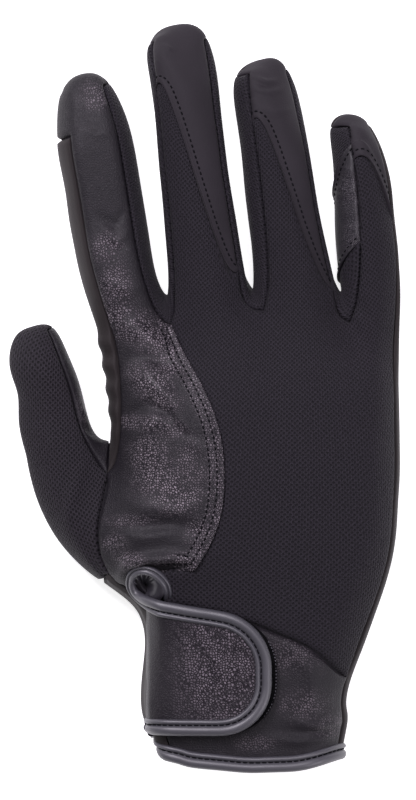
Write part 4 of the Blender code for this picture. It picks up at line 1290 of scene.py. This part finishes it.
line = smoothed(np.vstack([edge, curl]), LINE_ROUNDS)
line_ups = unit_rows(smoothed(np.vstack([edge_ups, curl_ups]), LINE_UP_ROUNDS))
outs = unit_rows(np.cross(np.gradient(line, axis=0), line_ups))
curling = np.r_[np.zeros(len(edge)), np.interp(along, CURL_SHARES, CURL_NARROWING)]
legs, beads = blend(TAB_LEG, CURL_LEG, curling), blend(TAB_BEAD, CURL_BEAD, curling)
trees = [None] + [tab_surface] * (len(edge) - 1) + [None] * len(curl)
rows, groove, groove_ups = binding_rows(line, line_ups, outs, legs, beads, TAB_DEPTH, trees)
PIECES["tab_binding"] = sweep("tab_beads", rows[: len(edge)], closed=False)
PIECES["vent_binding"] = sweep("vent_beads", rows[len(edge) - 1 :], closed=False)
last = len(edge) + CURL_STEPS
print("stitches round the tab", stitch_line(groove[:last], groove_ups[:last], **BINDING_STITCH))

# %% Leather gathered into the vent
GATHER_RINGS, GATHER_STEPS, PLEATS = 14, 140, 13
GATHER_CENTRE, GATHER_HOLE, HOLE_RADIUS = (-30.7, -32.4), (-32.0, -31.7), 0.75
GATHER_RADII, GATHER_DEPTH, PLEAT_HEIGHT = (5.1, 5.0), 3.4 * MM, 0.7 * MM
GATHER_LIFT, LOBE_HEIGHT, TUBE_DEPTH = 0.9 * MM, 1.1 * MM, 3 * MM
LEFT_MIDDLE, LEFT_SWING, LEFT_TURN, PLEAT_SWAY = 0.55, 0.75, 0.35, 0.8
gathers = []
for ring in range(GATHER_RINGS + 1):
    share = ring / GATHER_RINGS
    middle = [blend(a, b, share) for a, b in zip(GATHER_CENTRE, GATHER_HOLE)]
    radii = [blend(radius, HOLE_RADIUS, share) for radius in GATHER_RADII]
    for step in range(GATHER_STEPS):
        turn = math.tau * step / GATHER_STEPS
        x, y = (m + r * f(turn) for m, r, f in zip(middle, radii, (math.cos, math.sin)))
        left = np.clip(LEFT_MIDDLE - LEFT_SWING * math.cos(turn + LEFT_TURN), 0, 1)
        pleat = math.cos(PLEATS * turn + PLEAT_SWAY * math.sin(3 * turn))
        fold = pleat * PLEAT_HEIGHT * left * math.sin(math.pi * share)
        lobe = LOBE_HEIGHT * (1 - left) * math.sin(math.pi * min(share * 1.2, 1))
        depth = GATHER_DEPTH * share ** (1.3 if left > 0.5 else 1.8)
        height = hit_below(all_skin, x * MM, y * MM)[0].z + GATHER_LIFT - depth + fold + lobe
        gathers.append((x * MM, y * MM, height))
bottom = [(x, y, z - TUBE_DEPTH) for x, y, z in gathers[-GATHER_STEPS:]]
gather_faces = tube_faces(GATHER_RINGS + 2, GATHER_STEPS)
gathered = new_mesh("vent_gathers", gathers + bottom, gather_faces)
print("gathers in the vent:", len(gather_faces), "faces")


# %% Grip pads
PILE_SIZE, PILE_HEIGHT = 0.9, 0.45  # millimetres
LOOP_LOW, HOOK_INSET = 0.2 * MM, -4 * MM
HOOK_LOW, HOOK_HIGH = TAB_RISE - 0.5 * MM, TAB_RISE + 0.1 * MM


def grip_pad(name, length, grow, widen, low, high, columns, rows):
    """A pad of hook or loop: a sheet whose top and rim are rough."""
    spots, quads = tab_grid(length, grow, widen, columns, rows)
    ups = normals_of(spots, quads)
    rough = noise_at(spots, PILE_SIZE * MM)[:, None] * PILE_HEIGHT * MM
    return slab(name, spots + ups * (high + rough), spots + ups * low, quads)


PIECES["loop_patch"] = grip_pad(
    "loop_pile", GRIP_LENGTH, GRIP_STEP, GRIP_WIDEN, LOOP_LOW, LOOP_LOW + PATCH_WALL, 80, 120
)
PIECES["hook_patch"] = grip_pad(
    "hook_pile", GRIP_LENGTH + 2 * HOOK_INSET, HOOK_INSET, HOOK_INSET, HOOK_LOW, HOOK_HIGH, 20, 30
)
print("grip pads made")

# %% Thread along the loop pad, and all the thread as two pieces
PAD_SEAM_Y, PAD_POINTS, PAD_SEARCH = (-71 * MM, -48 * MM), 60, 400
PAD_INSET, PAD_LIFT, PAD_UP = 0.15 * MM, PATCH_WALL + 0.35 * MM, (0.15, 0, 1.0)
PAD_STITCH = {"pitch": 1.0 * MM, "length": 0.55 * MM, "radius": 0.11 * MM, "colour": "grey"}
pad_line = []
columns = np.linspace(TAB_ROOT_X + TAB_LENGTH + GRIP_STEP, TAB_ROOT_X + TAB_LENGTH / 2, PAD_SEARCH)
for y in np.linspace(*PAD_SEAM_Y, PAD_POINTS):
    edges = ((x, *tab_edges(x, GRIP_STEP, GRIP_WIDEN)) for x in columns)
    rightmost = next(x for x, low, high in edges if low < y < high)
    pad_line.append(np.array(on_skin(rightmost - PAD_INSET, y)) + (0, 0, PAD_LIFT))
print("grey stitches", stitch_line(pad_line, [PAD_UP] * PAD_POINTS, **PAD_STITCH))
thread = {colour: new_mesh(colour + "_stitches", *parts) for colour, parts in THREADS.items()}
print("thread:", {colour: len(parts[1]) for colour, parts in THREADS.items()})

# %% [markdown]
# ## Finishes
# Black leather and black knit differ in how they scatter light, not in colour, so each material gets its
# relief from a shader node group: pebbled grain, a knit with open pores, fine suede nap, and stray lint.
# The grain also marks its pebble tops in shiny spots for a painted glint, and the knit paints shade into its
# pores and rib grooves.


# %% Building shader nodes
def add_node(tree, kind, inputs=None, **settings):
    """A shader node with its settings and inputs; an input that is a socket is linked."""
    made = tree.nodes.new("ShaderNode" + kind)
    for key, value in settings.items():
        setattr(made, key, value)
    for key, value in (inputs or {}).items():
        if isinstance(value, bpy.types.NodeSocket):
            tree.links.new(value, made.inputs[key])
        else:
            made.inputs[key].default_value = value
    return made


def calc(tree, operation, *values, clamp=False):
    made = add_node(tree, "Math", dict(enumerate(values)), operation=operation, use_clamp=clamp)
    return made.outputs[0]


def map_range(tree, value, *ends, kind="LINEAR"):
    """A value taken from one range to another; ends are From Min, From Max, To Min and To Max."""
    inputs = {"Value": value, **dict(zip(("From Min", "From Max", "To Min", "To Max"), ends))}
    return add_node(tree, "MapRange", inputs, interpolation_type=kind).outputs["Result"]


def noise_node(tree, spot, scale, detail, output="Fac"):
    inputs = {"Vector": spot, "Scale": scale, "Detail": detail}
    return add_node(tree, "TexNoise", inputs).outputs[output]


def pushed(tree, spot, scale, detail, reach):
    """A place moved a little by noise, so that no row of a pattern stays straight."""
    wobble = noise_node(tree, spot, scale, detail, "Color")
    push = add_node(tree, "VectorMath", {0: wobble, "Scale": reach}, operation="SCALE")
    return add_node(tree, "VectorMath", {0: spot, 1: push.outputs[0]}, operation="ADD").outputs[0]


def new_group(name, inputs, outputs):
    """A shader node group with named sockets, its inputs and the node that takes its outputs."""
    group = bpy.data.node_groups.new(name, "ShaderNodeTree")
    add_socket = group.interface.new_socket
    for label, value in inputs.items():
        add_socket(label, in_out="INPUT", socket_type="NodeSocketFloat").default_value = value
    for label in outputs:
        add_socket(label, in_out="OUTPUT", socket_type="NodeSocketFloat")
    return group, group.nodes.new("NodeGroupInput").outputs, group.nodes.new("NodeGroupOutput")


def give(group, given, **results):
    """Links results to the outputs of a node group."""
    for label, socket in results.items():
        group.links.new(socket, given.inputs[label])


# %% Group: pebbled grain of leather
GRAIN_WOBBLE, CLOUDS = (900.0, 2.0, 0.0004), (260.0, 3.0)  # scale and detail of a noise, and its reach
CREASES, PEBBLE_LOWEST, CLOUD_CONTRAST, FLAT_RELIEF = (0.03, 0.3), 0.5, 1.6, 0.25


def make_grain_group():
    """Small pebbles between fine creases, higher and glossier where the leather is stretched, with their
    tops there marked for a painted glint; Size is in millimetres.
    """
    outputs = ("Height", "Patches", "Pebbles")
    group, taken, given = new_group("leather_grain", {"Size": 0.7, "Evenness": 0.15}, outputs)
    spot = add_node(group, "TexCoord").outputs["Object"]
    per_metre = calc(group, "DIVIDE", 1000.0, taken["Size"])
    moved = pushed(group, spot, *GRAIN_WOBBLE)
    grid = {"Vector": moved, "Scale": per_metre, "Randomness": 0.8}
    cells = add_node(group, "TexVoronoi", grid, feature="DISTANCE_TO_EDGE")
    pebbles = map_range(group, cells.outputs["Distance"], *CREASES, kind="SMOOTHERSTEP")
    tone = add_node(group, "TexVoronoi", grid).outputs["Color"]
    uneven = map_range(group, tone, 0.0, 1.0, PEBBLE_LOWEST)
    slow = noise_node(group, spot, *CLOUDS)
    shine = add_node(group, "Attribute", attribute_name="shine").outputs["Fac"]
    cloud = calc(group, "MULTIPLY", calc(group, "SUBTRACT", slow, 0.5), CLOUD_CONTRAST)
    drawn = calc(group, "MULTIPLY", shine, calc(group, "ADD", cloud, 1.0), clamp=True)
    extra = calc(group, "MULTIPLY", cloud, taken["Evenness"])
    patches = calc(group, "ADD", drawn, extra, clamp=True)
    depth = calc(group, "ADD", calc(group, "MULTIPLY", patches, 1 - FLAT_RELIEF), FLAT_RELIEF)
    height = calc(group, "MULTIPLY", pebbles, depth)
    # painted glint: the pebble tops inside the shiny spots, which the finish paints in its light colour
    glint_tops = calc(group, "MULTIPLY", calc(group, "MULTIPLY", pebbles, uneven), patches)
    give(group, given, Height=height, Patches=patches, Pebbles=glint_tops)
    return group


# %% Group: open knit
KNIT_WOBBLE, SPECKLES = (0.5, 1.0, 0.25), (1.6, 2.0)
PORE_EDGE, SPECKLE_EDGE, RIB_DEPTH, PORE_SHADE = (-0.1, 0.75), (0.35, 0.75), 0.35, 0.8


def make_knit_group():
    """Staggered pores between raised threads, with painted shade in the pores and in the grooves between
    ribs; Width and Length are one pore's repeat in millimetres.
    """
    outputs = ("Height", "Pores", "Tone")
    group, taken, given = new_group("open_knit", {"Width": 1.65, "Length": 1.65}, outputs)
    spot = add_node(group, "UVMap", uv_map="cloth").outputs["UV"]
    axes = add_node(group, "SeparateXYZ", {"Vector": pushed(group, spot, *KNIT_WOBBLE)}).outputs
    waves = []
    for axis, repeat in (("X", "Width"), ("Y", "Length")):
        turn = calc(group, "DIVIDE", calc(group, "MULTIPLY", axes[axis], math.tau), taken[repeat])
        waves.append(calc(group, "COSINE", turn))
    across, along = waves
    both = calc(group, "MULTIPLY", across, along)
    pores = map_range(group, both, *PORE_EDGE, kind="SMOOTHSTEP")
    ribs = calc(group, "MULTIPLY", calc(group, "MULTIPLY", across, across), RIB_DEPTH)
    height = calc(group, "SUBTRACT", calc(group, "SUBTRACT", 1.0, pores), ribs)
    # painted shade: the pores and the grooves between the ribs are darkened in colour
    pore_and_groove_shade = calc(group, "ADD", calc(group, "MULTIPLY", pores, PORE_SHADE), ribs)
    tone = map_range(group, noise_node(group, spot, *SPECKLES), *SPECKLE_EDGE)
    give(group, given, Height=height, Pores=calc(group, "MULTIPLY", pore_and_groove_shade, 1.0, clamp=True), Tone=tone)
    return group


# %% Group: nap of suede, and stray lint
NAP_DETAIL, NAP_CLOUDS, LINT_RADIUS = 3.0, (90.0, 2.0), 0.014


def make_nap_group():
    group, taken, given = new_group("suede_nap", {"Size": 0.5}, ("Height", "Patches"))
    spot = add_node(group, "TexCoord").outputs["Object"]
    nap = noise_node(group, spot, calc(group, "DIVIDE", 1000.0, taken["Size"]), NAP_DETAIL)
    give(group, given, Height=nap, Patches=noise_node(group, spot, *NAP_CLOUDS))
    return group


def make_lint_group():
    group, taken, given = new_group("lint", {"Spacing": 9.0}, ("Mask",))
    spot = add_node(group, "TexCoord").outputs["Object"]
    per_metre = calc(group, "DIVIDE", 1000.0, taken["Spacing"])
    specks = add_node(group, "TexVoronoi", {"Vector": spot, "Scale": per_metre})
    give(group, given, Mask=calc(group, "LESS_THAN", specks.outputs["Distance"], LINT_RADIUS))
    return group


GROUPS = {"grain": make_grain_group(), "knit": make_knit_group()}
GROUPS.update({"nap": make_nap_group(), "lint": make_lint_group()})
print("node groups:", ", ".join(g.name for g in GROUPS.values()))


# %% Materials
def new_finish(name, **plain):
    """A material with its own Principled shader; plain values are set on the shader's sockets."""
    material = bpy.data.materials.new(name)
    material.use_nodes = True
    shader = material.node_tree.nodes["Principled BSDF"]
    for label, value in plain.items():
        shader.inputs[label.replace("_", " ")].default_value = value
    return material, material.node_tree, shader


def use_group(tree, name, **values):
    made = tree.nodes.new("ShaderNodeGroup")
    made.node_tree = GROUPS[name]
    for label, value in values.items():
        made.inputs[label].default_value = value
    return made.outputs


def mix_colours(tree, mask, low, high):
    made = add_node(tree, "Mix", {0: mask}, data_type="RGBA")
    for socket, colour in ((made.inputs[6], low), (made.inputs[7], high)):
        if isinstance(colour, bpy.types.NodeSocket):
            tree.links.new(colour, socket)
        else:
            socket.default_value = (*colour, 1)
    return made.outputs[2]


def dress(tree, shader, colour, height, depth):
    """Gives a shader its colour, and relief of a depth in millimetres."""
    tree.links.new(colour, shader.inputs["Base Color"])
    bump = add_node(tree, "Bump", {"Height": height, "Distance": depth * MM, "Strength": 1.0})
    tree.links.new(bump.outputs["Normal"], shader.inputs["Normal"])


LINT_COLOUR, GLOSS_GAIN = (0.1, 0.095, 0.1), 0.2
YARN_SHADES, THREAD_SHADE = (0.75, 1.7), 1.6
NAP_DEPTH, KNIT_DEPTH, THREAD_DEPTH = 0.08, 0.18, 0.05


def shaded(colour, share):
    return [c * share for c in colour]


def leather_finish(name, dark, light, size, depth, rough, spec=0.3):
    material, tree, shader = new_finish(name, Specular_IOR_Level=spec)
    grain = use_group(tree, "grain", Size=size)
    # the pebble tops in shiny spots take the light colour: a painted glint
    body = mix_colours(tree, grain["Pebbles"], dark, light)
    body = mix_colours(tree, use_group(tree, "lint")["Mask"], body, LINT_COLOUR)
    gloss = map_range(tree, grain["Patches"], 0.0, 1.0, rough, rough - GLOSS_GAIN)
    tree.links.new(gloss, shader.inputs["Roughness"])
    dress(tree, shader, body, grain["Height"], depth)
    return material


def suede_finish(name, dark, light):
    plain = {"Roughness": 0.7, "Specular_IOR_Level": 0.24, "Sheen_Weight": 0.04, "Sheen_Roughness": 0.5}
    material, tree, shader = new_finish(name, **plain)
    nap = use_group(tree, "nap")
    dress(tree, shader, mix_colours(tree, nap["Patches"], dark, light), nap["Height"], NAP_DEPTH)
    return material


def knit_finish(name, dark, light, repeat):
    plain = {"Roughness": 0.75, "Specular_IOR_Level": 0.2, "Sheen_Weight": 0.04, "Sheen_Roughness": 0.4}
    material, tree, shader = new_finish(name, **plain)
    knit = use_group(tree, "knit", Width=repeat, Length=repeat)
    yarn = mix_colours(tree, knit["Tone"], *(shaded(light, share) for share in YARN_SHADES))
    # the pores and rib grooves take the dark colour: painted shade
    dress(tree, shader, mix_colours(tree, knit["Pores"], yarn, dark), knit["Height"], KNIT_DEPTH)
    return material


def thread_finish(name, colour, rough):
    material, tree, shader = new_finish(name, Roughness=rough, Specular_IOR_Level=0.1)
    nap = use_group(tree, "nap", Size=0.2)
    body = mix_colours(tree, nap["Patches"], colour, shaded(colour, THREAD_SHADE))
    dress(tree, shader, body, nap["Height"], THREAD_DEPTH)
    return material


RECIPES = (
    # leather: dark, light (a painted glint on the pebble tops in shiny spots), size and depth of a pebble in
    # millimetres, roughness, specular level
    (leather_finish, "grain_leather_look", (0.009, 0.0072, 0.0105), (0.25, 0.213, 0.243), 0.75, 0.25, 0.56),
    (leather_finish, "tab_leather_look", (0.01, 0.0076, 0.0115), (0.2, 0.17, 0.198), 0.8, 0.26, 0.54),
    (leather_finish, "patch_look", (0.015, 0.013, 0.017), (0.12, 0.108, 0.124), 0.55, 0.12, 0.52, 0.45),
    (leather_finish, "binding_look", (0.044, 0.042, 0.053), (0.054, 0.052, 0.065), 0.5, 0.03, 0.48, 1.0),
    (leather_finish, "gathered_look", (0.022, 0.02, 0.026), (0.036, 0.036, 0.042), 0.5, 0.03, 0.36, 0.5),
    # suede: dark, light; knit: the painted shade of pores and rib grooves, yarn, the repeat of a pore in
    # millimetres
    (suede_finish, "suede_look", (0.0135, 0.011, 0.0145), (0.0215, 0.0175, 0.023)),
    (suede_finish, "palm_look", (0.014, 0.0108, 0.0115), (0.021, 0.0165, 0.017)),
    (knit_finish, "knit_look", (0.0058, 0.0047, 0.007), (0.0155, 0.013, 0.018), 1.45),
    (knit_finish, "thumb_knit_look", (0.003, 0.0023, 0.0038), (0.0195, 0.0163, 0.0215), 1.6),
    # thread, cloth and pile: colour, roughness
    (thread_finish, "grey_thread_look", (0.1, 0.095, 0.11), 0.6),
    (thread_finish, "grip_look", (0.0015, 0.0015, 0.002), 0.9),
    (thread_finish, "thread_look", (0.002, 0.002, 0.003), 0.7),
    (thread_finish, "inside_look", (0.012, 0.011, 0.013), 0.9),
)
FINISHES = {name: make(name, *values) for make, name, *values in RECIPES}
print("materials:", len(FINISHES))

# %% Floor's material
paper, tree, shader = new_finish("paper", Roughness=0.9)
shader.inputs["Base Color"].default_value = (0.93, 0.93, 0.93, 1)
shader.inputs["Emission Color"].default_value = (1, 1, 1, 1)
shader.inputs["Emission Strength"].default_value = 0.75
floor.data.materials.append(paper)

# %% [markdown]
# ## Each piece takes its CAD panel's place
# The pieces ride on the glove's one body; each hides its CAD panel and takes the look of that panel's slot.
# Most pieces of a slot look alike. The palm, the thumb, the tab and the patch on the little finger have a
# look of their own, and so have the threads, the gathers and the inner face, which no panel stands for.

# %% Dress the pieces
LOOKS = {"knit_fabric": "knit_look", "grain_leather": "grain_leather_look", "suede_leather": "suede_look"}
LOOKS.update({"binding_leather": "binding_look", "grip_tape": "grip_look"})
OWN_LOOKS = {"palm": "palm_look", "thumb_front": "palm_look", "closure_tab": "tab_leather_look"}
OWN_LOOKS.update({PATCH: "patch_look", "thumb_back": "thumb_knit_look"})
for name, piece in PIECES.items():
    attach(piece, BODY)
    if name in SLOTS:
        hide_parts(name)
        piece.data.materials.append(FINISHES[OWN_LOOKS.get(name, LOOKS[SLOTS[name]])])
PIECES["inner_face"].data.materials.append(FINISHES["inside_look"])
extras = {"thread_look": thread["black"], "grey_thread_look": thread["grey"], "gathered_look": gathered}
for look, piece in extras.items():
    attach(piece, BODY)
    piece.data.materials.append(FINISHES[look])
for name in SHINE:
    shine_on(name, PIECES[name])
print("pieces:", len(PIECES) + len(extras))
